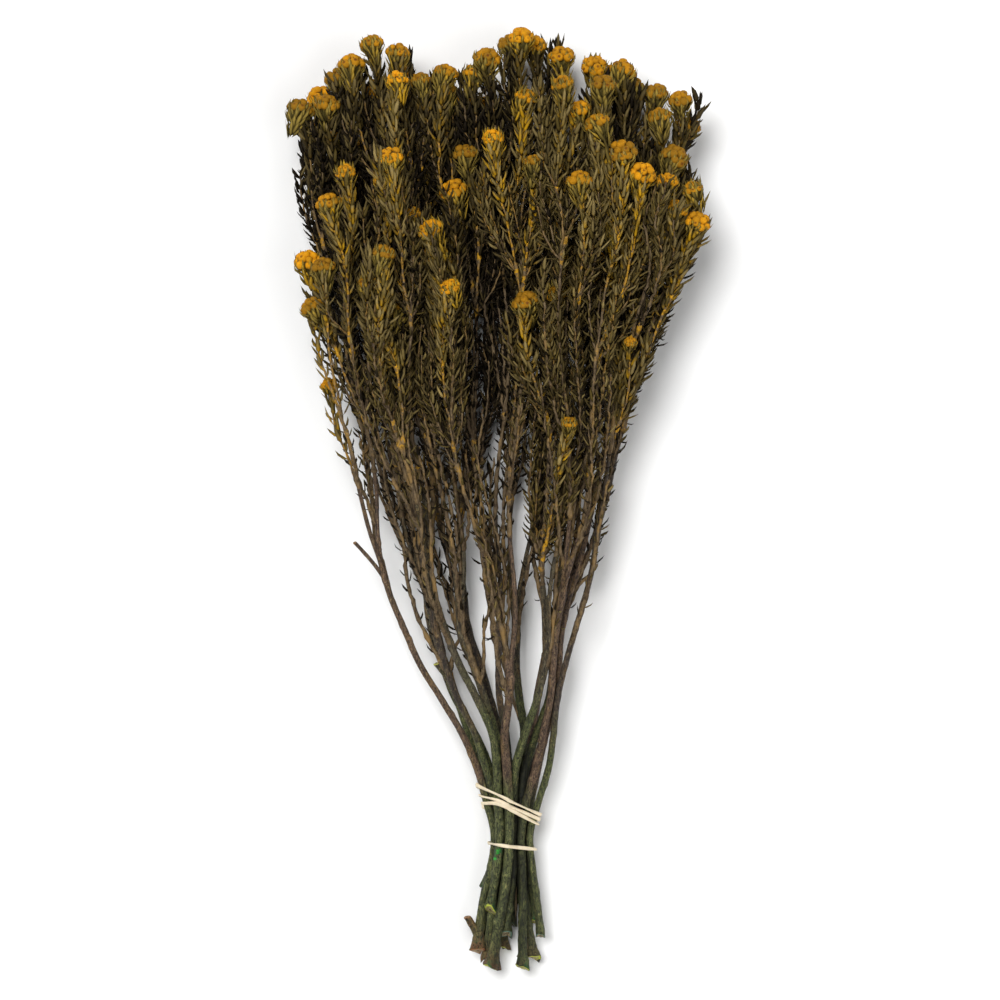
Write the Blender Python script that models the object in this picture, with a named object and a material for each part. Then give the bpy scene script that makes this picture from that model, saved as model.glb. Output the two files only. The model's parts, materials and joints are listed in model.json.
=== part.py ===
"""A bunch of preserved phylica held by two rubber bands, lying on its side.

Sixteen woody stems each fork once, and each prong carries a leafy spray with about
three domed flower heads. +Y runs from the cut ends to the flower heads, X is across the
bunch and Z is up, with the bunch lying on z = 0. A leafy shoot is drawn as the envelope
of its needle leaves, and a flower head as the dome at the top of its shoot.

Tables below are in millimetres, and meshes are written in metres.
"""

import math
from dataclasses import dataclass

import bmesh
import bpy
import numpy as np

MM = 0.001
CENTRE_SHIFT = (0.41, -1.1)  # added to x and y: it centres the bunch on the origin

# The planes across the bunch on which the shoots are laid out
LOW_Y, HIGH_Y, STEP_Y = -250.0, 250.0, 18.0
FINE_PER_STEP = 3

# Where the bands hold the bunch
TIE_LOW, TIE_HIGH = -190.0, -172.0
TIE_CENTRE = (7.0, 17.0)  # x, z
TIE_PULL = (0.10, 0.03)  # in x and z, each round
TIE_GRADE = ((-214.0, 0.0), (-196.0, 0.2), (-178.0, 1.0), (-160.0, 0.1), (-142.0, 0.0))

# Shoots
GAP = 0.3
WOOD_SPARE = 0.15  # room kept round bare wood, beyond the gap
LEAF_SPARE = 0.45  # room kept round leafy shoots, beyond the gap
FORK_REACH = 28.0  # how far above a fork two shoots are fully apart
AT_CUT, AT_FORK, ABOVE_FORK = 1.12, 0.88, 0.66  # radius against that at the bands
PRONG_TAPER = 8.0  # over which a prong thins out above the fork
FORK_BITE, SIDE_BITE = 6.0, 2.0  # how deep a prong and a side shoot start in their parents
SHOOT_RADIUS = 1.7  # where a spray starts
SIDE_RADIUS = 2.9  # of a side shoot where it leaves its spray
SIDE_LENGTH, SIDE_STEP = 62.0, 14.0  # how far below its head a side shoot starts
SIDE_LOWEST = 11.0  # above the start of its spray
CLUB_RADIUS = 4.1  # envelope of the leaves
WANDER, WANDER_LENGTH, WANDER_RAMP = 3.0, 150.0, 40.0  # how far shoots stray, and over what
CLUB_RAMP = 34.0  # over which the leaves reach their full length
HEAD_PROFILE = ((-13.0, 4.3), (-5.0, 6.5), (1.0, 6.5), (5.2, 2.6))  # from the middle, radius
HEAD_LAYERS = (13.0, 42.0, 70.0)  # z of the heads of the lower, middle and upper stems
HEAD_SPREAD = 7.0
TIE_LAYERS = (10.0, 17.0, 24.0)  # z of the same stems between the bands
TIE_DROP = 7.5  # from there down to the cut ends

# Mesh density
WOOD_SIDES = 6
SHOOT_SIDES = 5
BAND_SIDES = 6

# Rubber bands
BAND_RADIUS = 0.9
BAND_GAP = 0.35
BAND_FAN = 0.025  # how much further apart the turns are, for each millimetre to the left
UPPER_BAND = dict(y=-170.0, slope=-0.204, turns=3, pitch=4.1)
LOWER_BAND = dict(y=-184.1, slope=-0.125, turns=1, pitch=0.0)
BAND_STEPS = 26  # per turn

# Relaxing the layout: rounds, and how much of each overlap or bend one round takes away
SETTLE_ROUNDS, SETTLE_PUSH = 240, 0.16
FINAL_ROUNDS, FINAL_PUSH = 90, 0.2
BEND_RELIEF = 0.2
HEAD_RECALL, RECALL = (0.35, 0.02), (0.03, 0.004)  # towards the first course, in x and z

# The room the bunch takes: y, left, right, top
OUTLINE = (
    (-250, -27, 30, 30), (-214, -24, 27, 30), (-198, -17, 24, 31), (-186, -10, 23, 32),
    (-172, -10, 23, 32), (-148, -14, 29, 34), (-117, -33, 36, 40), (-80, -53, 42, 52),
    (-37, -63, 53, 66), (0, -84, 58, 76), (53, -99, 72, 88), (106, -107, 93, 95),
    (153, -109, 114, 96), (180, -109, 98, 95), (203, -112, 108, 93), (212, -113, 108, 92),
    (250, -85, 85, 80),
)


@dataclass(frozen=True)
class Stem:
    """One woody stem and the flower heads on its two sprays, in millimetres."""

    layer: int  # 0 underneath, 1 in the middle, 2 on top
    radius: float  # of the wood between the bands
    cut: tuple  # x and y of the cut end
    tie: float  # x between the bands
    bends: tuple  # x and y of the bends below the fork
    fork: tuple  # x and y
    leafy: tuple  # y at which the first and the second spray start
    heads: tuple  # for each spray, x and y of its flower heads
    colour: tuple  # of the bark


GREEN_BARK = (0.055, 0.05, 0.025)
BROWN_BARK = (0.16, 0.095, 0.055)
DARK_BARK = (0.05, 0.032, 0.022)

STEMS = (
    Stem(2, 2.0, (-12.5, -240), -8, ((-18, -135), (-28, -119), (-44, -90)), (-60, -40), (4, 15),
         (((-97, 103), (-94, 124), (-92, 62)), ((-85, 174), (-87, 158), (-102, 128))),
         BROWN_BARK),
    Stem(2, 2.4, (-7, -218), -4, ((-6, -117), (-11, -106), (-22, -80)), (-40, -36), (-2, 5),
         (((-63, 131), (-65, 102), (-63, 116)), ((-53, 222), (-59, 171), (-59, 181))),
         GREEN_BARK),
    Stem(2, 2.6, (-5, -249), 2, ((4, -127),), (7, -97), (-30, -20),
         (((-37, 144), (-33, 131), (-29, 113)), ((12, 214), (16, 178), (-1, 192))),
         BROWN_BARK),
    Stem(2, 2.4, (3, -231), 8, ((10, -135),), (21, -90), (-45, -30),
         (((32, 110), (13, 106), (37, 42)), ((46, 199), (41, 169), (35, 144))),
         GREEN_BARK),
    Stem(2, 2.15, (12, -249), 14, ((21, -125), (28, -101)), (36, -53), (-10, -5),
         (((35, 220), (43, 207), (52, 220)), ((65, 184), (62, 146), (74, 173))),
         BROWN_BARK),
    Stem(2, 1.9, (23, -232), 22, ((32, -132), (35, -106), (40, -74)), (50, -19), (25, 35),
         (((89, 169), (79, 140), (73, 84)), ((104, 166), (96, 155), (108, 148))),
         DARK_BARK),
    Stem(1, 2.1, (-10.5, -235), -6,
         ((-12, -131), (-19, -122), (-27, -101), (-37, -80)), (-40, -55), (-15, -10),
         (((-98, 216), (-103, 208), (-95, 199)), ((-89, 225), (-91, 211), (-84, 195))),
         GREEN_BARK),
    Stem(1, 2.0, (-8, -243), -2, ((-14, -132), (-25, -108)), (-33, -76), (-25, -20),
         (((-67, 243), (-78, 232), (-68, 219)), ((-50, 238), (-51, 230), (-43, 223))),
         DARK_BARK),
    Stem(1, 2.25, (-2, -221), 4, ((-3, -120), (-8, -95)), (-19, -72), (-28, -20),
         (((-51, 151), (-41, 122), (-50, 103)), ((-30, 227), (-43, 189), (-28, 165))),
         GREEN_BARK),
    Stem(1, 2.1, (6, -226), 7, ((6, -125), (-1, -98)), (-3, -68), (-18, -10),
         (((-20, 213), (-32, 218), (-16, 185)), ((3, 244), (-4, 235), (-14, 228))),
         DARK_BARK),
    Stem(1, 2.35, (17, -244), 12, ((17, -130), (24, -106)), (27, -80), (-35, -25),
         (((19, 243), (13, 246), (28, 237)), ((64, 229), (53, 231), (70, 221))),
         GREEN_BARK),
    Stem(1, 2.1, (20, -225), 17, ((20, -132), (31, -104)), (37, -62), (-15, -5),
         (((93, 213), (81, 217), (101, 200)), ((88, 204), (80, 188), (96, 183))),
         BROWN_BARK),
    Stem(0, 1.7, (-14.5, -207), -8, ((-8, -132), (-22, -108)), (-42, -60), (-20, -12),
         (((-85, 202), (-98, 172), (-92, 140)), ((-72, 190), (-80, 165), (-73, 139))),
         GREEN_BARK),
    Stem(0, 2.6, (0, -238), 3, ((2, -130), (-8, -104)), (-20, -70), (-25, -15),
         (((-52, 200), (-60, 160), (-55, 130)), ((-25, 205), (-35, 175), (-38, 148))),
         DARK_BARK),
    Stem(0, 2.5, (9, -216), 9, ((11, -125), (8, -98)), (11, -70), (-30, -20),
         (((-8, 213), (0, 181), (-10, 150)), ((30, 205), (25, 175), (18, 140))),
         GREEN_BARK),
    Stem(0, 2.6, (15, -234), 15, ((17, -130), (23, -104)), (31, -62), (-20, -10),
         (((60, 205), (55, 165), (50, 130)), ((85, 184), (80, 155), (72, 120))),
         BROWN_BARK),
)

# Short side pieces of wood: stem, y where they leave, where they end (x, y, z from there)
STUBS = (
    (0, -42.0, (-16.0, 19.5, 4.0), 1.1),
    (6, -96.0, (-7.0, 9.0, 3.0), 1.6),
    (0, -233.0, (-6.0, 11.0, 1.0), 2.1),
    (10, -120.0, (4.0, 10.0, 6.5), 1.0),
)


@dataclass
class Shoot:
    """One line of growth, from where it leaves its parent up to its flower head."""

    stem: int
    spray: int
    parent: int  # -1 for a stem
    start: float  # y where it leaves its parent
    leafy: float  # y where its spray starts
    head: tuple  # x and y
    side: bool  # leafy all the way, growing from its spray's main shoot


def ease(t):
    """Rise quickly from 0 and level out at 1."""
    return 1.0 - (1.0 - np.clip(t, 0.0, 1.0)) ** 1.5


def outline(y):
    """Left, right and top of the room for the bunch at each y."""
    table = np.array(OUTLINE, float)
    return [np.interp(y, table[:, 0], table[:, k]) for k in (1, 2, 3)]


def list_shoots():
    """Every shoot, parents before children."""
    shoots = []
    for number, stem in enumerate(STEMS):
        first = len(shoots)
        for spray, heads in enumerate(stem.heads):
            leafy = float(stem.leafy[spray])
            main = len(shoots)
            for rank, head in enumerate(heads):
                if rank > 0:
                    parent = main
                    start = max(head[1] - SIDE_LENGTH - SIDE_STEP * rank, leafy + SIDE_LOWEST)
                elif spray > 0:
                    parent = first
                    start = float(stem.fork[1])
                else:
                    parent = -1
                    start = LOW_Y
                shoots.append(Shoot(number, spray, parent, start, leafy, head, rank > 0))
    return shoots


class Layout:
    """Places every shoot so that no two of them touch.

    Each shoot's course is straight between neighbouring planes. Distances are kept on
    finer planes, several to each step.
    """

    def __init__(self):
        self.shoots = list_shoots()
        self.y = np.arange(LOW_Y, HIGH_Y + STEP_Y, STEP_Y)
        self.fine = np.arange(LOW_Y, self.y[-1], STEP_Y / FINE_PER_STEP)
        self.blend = np.stack([np.interp(self.fine, self.y, row) for row in np.eye(len(self.y))])
        count = len(self.shoots)
        self.x = np.zeros((count, len(self.y)))
        self.z = np.zeros((count, len(self.y)))
        self.size = np.zeros((count, len(self.y)))
        self.room = np.zeros((count, len(self.fine)))
        self.live = np.zeros((count, len(self.fine)), bool)
        for index, shoot in enumerate(self.shoots):
            self.draft(index, shoot)
            self.reserve(index, shoot)
        self.aim_x = self.x.copy()
        self.aim_z = self.z.copy()
        self.share = self.pair_shares()

    def draft(self, index, shoot):
        """First course of a shoot: through its stem's bends, then out to its head."""
        stem = STEMS[shoot.stem]
        head_z = HEAD_LAYERS[stem.layer] + HEAD_SPREAD * math.sin(2.4 * index)
        if shoot.parent < 0:
            tie_z = TIE_LAYERS[stem.layer]
            course = ((stem.tie, TIE_LOW), (stem.tie, TIE_HIGH), *stem.bends, stem.fork)
            across, along = np.array((stem.cut, *course), float).T
            start = stem.fork[1]
            heights = (stem.cut[1], TIE_LOW, TIE_HIGH, start)
            rise = (tie_z - TIE_DROP, tie_z, tie_z, 0.6 * tie_z + 0.4 * head_z)
            self.x[index] = np.interp(self.y, along, across)
            self.z[index] = np.interp(self.y, heights, rise)
        else:
            self.x[index] = self.x[shoot.parent]
            self.z[index] = self.z[shoot.parent]
            start = shoot.start
        base_x = np.interp(start, self.y, self.x[index])
        base_z = np.interp(start, self.y, self.z[index])
        way = ease((self.y - start) / (shoot.head[1] - start))
        above = self.y > start
        self.x[index, above] = (base_x + (shoot.head[0] - base_x) * way)[above]
        self.z[index, above] = (base_z + (head_z - base_z) * way)[above]
        grown = np.clip((self.y - max(shoot.start, TIE_HIGH)) / WANDER_RAMP, 0.0, 1.0)
        phase = 2 * math.pi * self.y / WANDER_LENGTH + 2.4 * index
        self.x[index] += WANDER * grown * np.sin(phase)
        self.z[index] += WANDER * grown * np.cos(1.3 * phase)

    def reserve(self, index, shoot):
        """Radius of the room a shoot needs on each plane it crosses."""
        low = STEMS[shoot.stem].cut[1] if shoot.parent < 0 else shoot.start
        high = shoot.head[1] + HEAD_PROFILE[-1][0]
        live = (self.fine > low - 5.0) & (self.fine < high + 2.0)
        size = radius_at(shoot, self.fine)
        spare = np.where(self.fine < shoot.leafy, WOOD_SPARE, LEAF_SPARE) + GAP / 2
        self.live[index] = live
        self.room[index] = size + spare
        near = np.abs(self.y[:, None] - self.fine[None]) < 1.3 * STEP_Y
        self.size[index] = np.where(near & live, size, 0.0).max(axis=1)

    def pair_shares(self):
        """How much of the full distance each pair of shoots must keep on each plane."""
        count = len(self.shoots)
        apart = np.full((count, count), LOW_Y - 10 * FORK_REACH)
        for i, one in enumerate(self.shoots):
            for j, two in enumerate(self.shoots):
                if one.stem != two.stem or i == j:
                    continue
                if one.spray != two.spray:
                    apart[i, j] = STEMS[one.stem].fork[1]
                else:
                    starts = [s.start for s in (one, two) if s.parent in (i, j)]
                    apart[i, j] = starts[0] if starts else min(one.start, two.start)
        share = np.clip((self.fine - apart[:, :, None]) / FORK_REACH, 0.0, 1.0)
        both = self.live[:, None, :] & self.live[None, :, :]
        both[np.arange(count), np.arange(count)] = False
        return share * both

    def smooth(self):
        """Spread each push along its shoot, so that none is bent sharply."""
        for grid, aim in ((self.x, self.aim_x), (self.z, self.aim_z)):
            moved = grid - aim
            bend = moved[:, :-2] + moved[:, 2:] - 2 * moved[:, 1:-1]
            grid[:, 1:-1] += BEND_RELIEF * bend

    def follow(self):
        """Keep the lower part of a side shoot on its parent."""
        for index, shoot in enumerate(self.shoots):
            if shoot.parent >= 0:
                below = self.y <= shoot.start
                self.x[index, below] = self.x[shoot.parent, below]
                self.z[index, below] = self.z[shoot.parent, below]

    def recall(self):
        """Draw shoots back towards their first course, and tightly together at the tie."""
        heads = np.array([shoot.head[1] for shoot in self.shoots])[:, None]
        near = self.y > heads - STEP_Y
        self.x += np.where(near, HEAD_RECALL[0], RECALL[0]) * (self.aim_x - self.x)
        self.z += np.where(near, HEAD_RECALL[1], RECALL[1]) * (self.aim_z - self.z)
        grade = np.interp(self.y, *np.array(TIE_GRADE).T)
        self.x += TIE_PULL[0] * grade * (TIE_CENTRE[0] - self.x)
        self.z += TIE_PULL[1] * grade * (TIE_CENTRE[1] - self.z)

    def part(self, strength):
        """Push shoots that are too close away from each other."""
        x = self.x @ self.blend
        z = self.z @ self.blend
        dx = x[:, None] - x[None]
        dz = z[:, None] - z[None]
        distance = np.sqrt(dx * dx + dz * dz) + 1e-6
        need = (self.room[:, None] + self.room[None]) * self.share
        push = np.clip(need - distance, 0.0, None) * strength / distance
        self.x += (push * dx).sum(axis=1) @ self.blend.T
        self.z += (push * dz).sum(axis=1) @ self.blend.T

    def contain(self):
        """Keep every shoot above the table and inside the bunch's outline."""
        left, right, top = outline(self.y)
        self.x = np.clip(self.x, left + self.size, right - self.size)
        half = (right - left) / 2
        across = np.clip(np.abs(self.x - (left + right) / 2) / half, 0.0, 0.98)
        lid = top * (0.55 + 0.45 * np.sqrt(1.0 - across ** 2))
        self.z = np.clip(self.z, self.size, np.maximum(lid - self.size, self.size))

    def settle(self):
        """Relax the bunch, then clear the last overlaps."""
        for _ in range(SETTLE_ROUNDS):
            self.smooth()
            self.recall()
            self.follow()
            self.part(SETTLE_PUSH)
            self.contain()
        for _ in range(FINAL_ROUNDS):
            self.follow()
            self.part(FINAL_PUSH)
            self.contain()
        self.follow()

    def place(self, index, y):
        """x, y, z of a shoot's middle at given heights."""
        y = np.asarray(y, float)
        x = np.interp(y, self.y, self.x[index])
        z = np.interp(y, self.y, self.z[index])
        return np.stack([x, y, z], axis=-1)


def radius_at(shoot, y):
    """Radius of a shoot at each y: tapering wood, then leaves, then the flower head."""
    y = np.asarray(y, float)
    stem = STEMS[shoot.stem]
    if shoot.side:
        bare = np.full_like(y, SIDE_RADIUS)
    else:
        fork = stem.fork[1]
        knots = (LOW_Y, TIE_LOW, TIE_HIGH, fork, fork + PRONG_TAPER, shoot.leafy)
        shares = np.array((AT_CUT, 1.0, 1.0, AT_FORK, ABOVE_FORK, 0.0))
        sizes = shares * stem.radius
        sizes[-1] = SHOOT_RADIUS
        bare = np.interp(y, knots, sizes)
    ramp = np.clip((y - max(shoot.leafy, shoot.start)) / CLUB_RAMP, 0.0, 1.0)
    club = bare + (CLUB_RADIUS - bare) * ramp
    offsets, radii = np.array(HEAD_PROFILE).T
    head = np.interp(y - shoot.head[1], offsets, radii)
    return np.where(y > shoot.head[1] + offsets[0], head, club)


def loft(rings):
    """Closed tube through a list of rings of equal length, each listed the same way."""
    bm = bmesh.new()
    loops = [[bm.verts.new(point) for point in ring] for ring in rings]
    for low, high in zip(loops[:-1], loops[1:]):
        for k in range(len(low)):
            after = (k + 1) % len(low)
            bm.faces.new((low[k], low[after], high[after], high[k]))
    bm.faces.new(loops[0][::-1])
    bm.faces.new(loops[-1])
    bmesh.ops.recalc_face_normals(bm, faces=bm.faces)
    mesh = bpy.data.meshes.new("loft")
    bm.to_mesh(mesh)
    bm.free()
    piece = bpy.data.objects.new("loft", mesh)
    bpy.context.scene.collection.objects.link(piece)
    return piece


def rings_across(centres, radii, sides):
    """Rings standing across the bunch with a corner straight down, in metres."""
    angles = 2 * math.pi * np.arange(sides) / sides - math.pi / 2
    rim = np.stack([np.cos(angles), np.zeros(sides), np.sin(angles)], axis=-1)
    points = centres[:, None] + rim[None] * np.asarray(radii)[:, None, None]
    shift = np.array([CENTRE_SHIFT[0], CENTRE_SHIFT[1], 0.0])
    return (points + shift) * MM


def join(pieces, name):
    """Unite overlapping pieces into one closed body."""
    whole = pieces[0]
    for other in pieces[1:]:
        union = whole.modifiers.new("union", "BOOLEAN")
        union.operation = "UNION"
        union.solver = "EXACT"
        union.object = other
        graph = bpy.context.evaluated_depsgraph_get()
        mesh = bpy.data.meshes.new_from_object(whole.evaluated_get(graph))
        whole.modifiers.clear()
        whole.data = mesh
        bpy.data.objects.remove(other, do_unlink=True)
    whole.name = name
    whole.data.name = name
    return whole


def finish(piece, colour, roughness):
    """Give a node its own material and smooth shading."""
    material = bpy.data.materials.new(piece.name)
    material.use_nodes = True
    shader = material.node_tree.nodes["Principled BSDF"]
    shader.inputs["Base Color"].default_value = (*colour, 1.0)
    shader.inputs["Roughness"].default_value = roughness
    shader.inputs["Metallic"].default_value = 0.0
    piece.data.materials.clear()
    piece.data.materials.append(material)
    piece.data.shade_smooth()
    piece.data.set_sharp_from_angle(angle=math.radians(50))


def levels(layout, low, high):
    """Heights from low to high, with the layout's planes between them."""
    spare = 0.2 * STEP_Y
    planes = layout.y[(layout.y > low + spare) & (layout.y < high - spare)]
    return np.concatenate([[low], planes, [high]])


def wood(layout, index, low, high):
    """Tube of bare wood along one shoot."""
    shoot = layout.shoots[index]
    y = levels(layout, low, high)
    return loft(rings_across(layout.place(index, y), radius_at(shoot, y), WOOD_SIDES))


def stub(layout, index, start, reach, radius):
    """Short side piece leaving a stem's wood."""
    base = layout.place(index, start)
    tip = base + np.array(reach)
    centres = np.stack([base, base + 0.55 * (tip - base), tip])
    return loft(rings_across(centres, [radius, radius, 0.8 * radius], SHOOT_SIDES))


def make_stem(layout, number):
    """A woody stem with its fork and any stubs."""
    stem = STEMS[number]
    mains = [
        index for index, shoot in enumerate(layout.shoots)
        if shoot.stem == number and not shoot.side
    ]
    pieces = [
        wood(layout, mains[0], stem.cut[1], stem.leafy[0]),
        wood(layout, mains[1], stem.fork[1] - FORK_BITE, stem.leafy[1]),
    ]
    for owner, start, reach, radius in STUBS:
        if owner == number:
            pieces.append(stub(layout, mains[0], start, reach, radius))
    whole = join(pieces, f"stem_{number + 1:02d}")
    finish(whole, stem.colour, 0.7)


def leafy_shoot(layout, index):
    """Leafy part of one shoot with its flower head."""
    shoot = layout.shoots[index]
    low = shoot.start - SIDE_BITE if shoot.side else shoot.leafy + GAP
    neck = shoot.head[1] + HEAD_PROFILE[0][0]
    y = levels(layout, low, neck)
    radii = radius_at(shoot, y)
    head_y = [shoot.head[1] + offset for offset, _ in HEAD_PROFILE[1:]]
    head_radii = [radius for _, radius in HEAD_PROFILE[1:]]
    y = np.concatenate([y, head_y])
    radii = np.concatenate([radii, head_radii])
    return loft(rings_across(layout.place(index, y), radii, SHOOT_SIDES))


def make_spray(layout, number, spray):
    """The leafy shoots and flower heads that grow from one prong."""
    pieces = [
        leafy_shoot(layout, index) for index, shoot in enumerate(layout.shoots)
        if (shoot.stem, shoot.spray) == (number, spray)
    ]
    whole = join(pieces, f"spray_{number + 1:02d}{'ab'[spray]}")
    finish(whole, (0.16, 0.115, 0.035), 0.8)


def band_course(layout, y, slope, turns, pitch):
    """Middle of a band that hugs the stems, round after round, and closes on itself."""
    mains = [i for i, shoot in enumerate(layout.shoots) if shoot.parent < 0]
    sizes = np.array([stem.radius for stem in STEMS])
    closing = 0.5 if turns > 1 else 0.0
    steps = int(BAND_STEPS * turns)
    course = []
    for step in range(steps):
        angle = 2 * math.pi * turns * step / steps
        done = step / steps * turns
        climb = pitch * min(done, (turns - done) * (turns - closing) / max(closing, 0.01))
        hop = 0.0
        if closing and done > turns - closing:
            into = (done - (turns - closing)) / closing
            hop = (2 * BAND_RADIUS + BAND_GAP) * min(1.0, 4 * into, 4 * (1 - into))
        normal = np.array([math.cos(angle), math.sin(angle)])
        level = y + climb
        for _ in range(3):
            spots = np.array([layout.place(i, level)[[0, 2]] for i in mains])
            owner = int(np.argmax(spots @ normal + sizes))
            away = sizes[owner] + BAND_GAP + BAND_RADIUS + hop
            x, z = spots[owner] + away * normal
            right = x - TIE_CENTRE[0]
            level = y + climb * (1.0 - BAND_FAN * right) + slope * right
        course.append((x, level, z))
    return np.array(course)


def make_band(layout, name, settings):
    """Rubber band: a round cord swept along its closed course."""
    course = band_course(layout, **settings)
    course = course + np.array([CENTRE_SHIFT[0], CENTRE_SHIFT[1], 0.0])
    ahead = np.roll(course, -1, axis=0) - np.roll(course, 1, axis=0)
    ahead /= np.linalg.norm(ahead, axis=1)[:, None]
    side = np.cross(ahead, (0.0, 1.0, 0.0))
    side /= np.linalg.norm(side, axis=1)[:, None]
    up = np.cross(side, ahead)
    bm = bmesh.new()
    loops = []
    for k in range(len(course)):
        ring = []
        for corner in range(BAND_SIDES):
            a = 2 * math.pi * corner / BAND_SIDES
            offset = math.cos(a) * side[k] + math.sin(a) * up[k]
            ring.append(bm.verts.new((course[k] + BAND_RADIUS * offset) * MM))
        loops.append(ring)
    for k, low in enumerate(loops):
        high = loops[(k + 1) % len(loops)]
        for corner in range(BAND_SIDES):
            after = (corner + 1) % BAND_SIDES
            bm.faces.new((low[corner], low[after], high[after], high[corner]))
    bmesh.ops.recalc_face_normals(bm, faces=bm.faces)
    mesh = bpy.data.meshes.new(name)
    bm.to_mesh(mesh)
    bm.free()
    band = bpy.data.objects.new(name, mesh)
    bpy.context.scene.collection.objects.link(band)
    finish(band, (0.82, 0.72, 0.52), 0.55)


def main():
    """Build the whole bunch."""
    for old in list(bpy.context.scene.objects):
        bpy.data.objects.remove(old, do_unlink=True)
    layout = Layout()
    layout.settle()
    for number in range(len(STEMS)):
        make_stem(layout, number)
        for spray in range(2):
            make_spray(layout, number, spray)
    make_band(layout, "rubber_band_upper", UPPER_BAND)
    make_band(layout, "rubber_band_lower", LOWER_BAND)


main()
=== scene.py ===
"""Looks of a bunch of preserved phylica that lies on its side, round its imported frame.

The bunch is laid out as its frame is: sixteen stems pass through the rubber bands, fork
once and carry leafy sprays. Round each course this script builds bark, twigs, leaves,
bracts, florets and rubber strands. Its tables are in millimetres, and its meshes in
metres. +Y runs from the cut ends to the flower heads, X is across and Z is up.
"""

import json
import logging
import math
from dataclasses import dataclass, field
from enum import Enum
from typing import Any

import bpy
import numpy as np
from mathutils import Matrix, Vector

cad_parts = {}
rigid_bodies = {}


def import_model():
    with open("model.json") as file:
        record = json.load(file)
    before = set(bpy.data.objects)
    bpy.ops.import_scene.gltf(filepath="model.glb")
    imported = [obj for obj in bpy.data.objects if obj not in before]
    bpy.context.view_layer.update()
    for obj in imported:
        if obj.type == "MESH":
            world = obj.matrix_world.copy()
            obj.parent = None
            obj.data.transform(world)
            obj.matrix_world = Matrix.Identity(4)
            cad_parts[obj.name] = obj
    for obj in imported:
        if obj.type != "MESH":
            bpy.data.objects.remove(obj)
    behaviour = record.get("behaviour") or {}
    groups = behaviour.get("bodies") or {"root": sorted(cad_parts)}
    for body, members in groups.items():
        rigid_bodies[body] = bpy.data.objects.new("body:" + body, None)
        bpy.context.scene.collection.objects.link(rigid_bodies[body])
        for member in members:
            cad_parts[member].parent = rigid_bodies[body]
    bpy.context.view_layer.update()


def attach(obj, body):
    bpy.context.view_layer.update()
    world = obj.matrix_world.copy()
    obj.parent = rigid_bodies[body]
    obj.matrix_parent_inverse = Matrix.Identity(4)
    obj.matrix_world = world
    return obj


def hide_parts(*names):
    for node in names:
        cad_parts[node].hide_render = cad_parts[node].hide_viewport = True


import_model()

LOG = logging.getLogger("phylica")
MM = 0.001
GOLDEN_ANGLE = 2.39996
ASIDE = (0.3, 0.0, 1.0)  # a direction that no stem or twig follows
TURN = 2 * math.pi
Array = np.ndarray
Random = np.random.Generator
Material = bpy.types.Material
Point = tuple[float, float]
Triple = tuple[float, float, float]
Row = tuple[float, ...]
Points = tuple[Point, ...]


# ---------- growth plan


class Bark(Enum):
    """Colour of a stem's bark."""

    GREEN = "bark_green"
    BROWN = "bark_brown"
    DARK = "bark_dark"


class Cut(Enum):
    """Colour of the wood where a stem was cut."""

    LIME = (0.50, 0.56, 0.06)
    TEAL = (0.10, 0.20, 0.15)
    CREAM = (0.60, 0.48, 0.30)
    RUST = (0.30, 0.12, 0.05)
    STRAW = (0.58, 0.47, 0.19)


@dataclass(frozen=True)
class StemPlan:
    """One woody stem and the flower heads on its two sprays, in millimetres."""

    layer: int  # 0 underneath, 1 in the middle, 2 on top
    radius: float  # of the wood between the bands
    cut: Point  # x and y of the cut end
    tie: float  # x between the bands
    bends: Points  # below the fork
    fork: Point
    leafy: Point  # y at which the first and the second spray start
    heads: tuple[Points, ...]  # for each spray, x and y of its flower heads
    bark: Bark
    end: Cut


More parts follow.
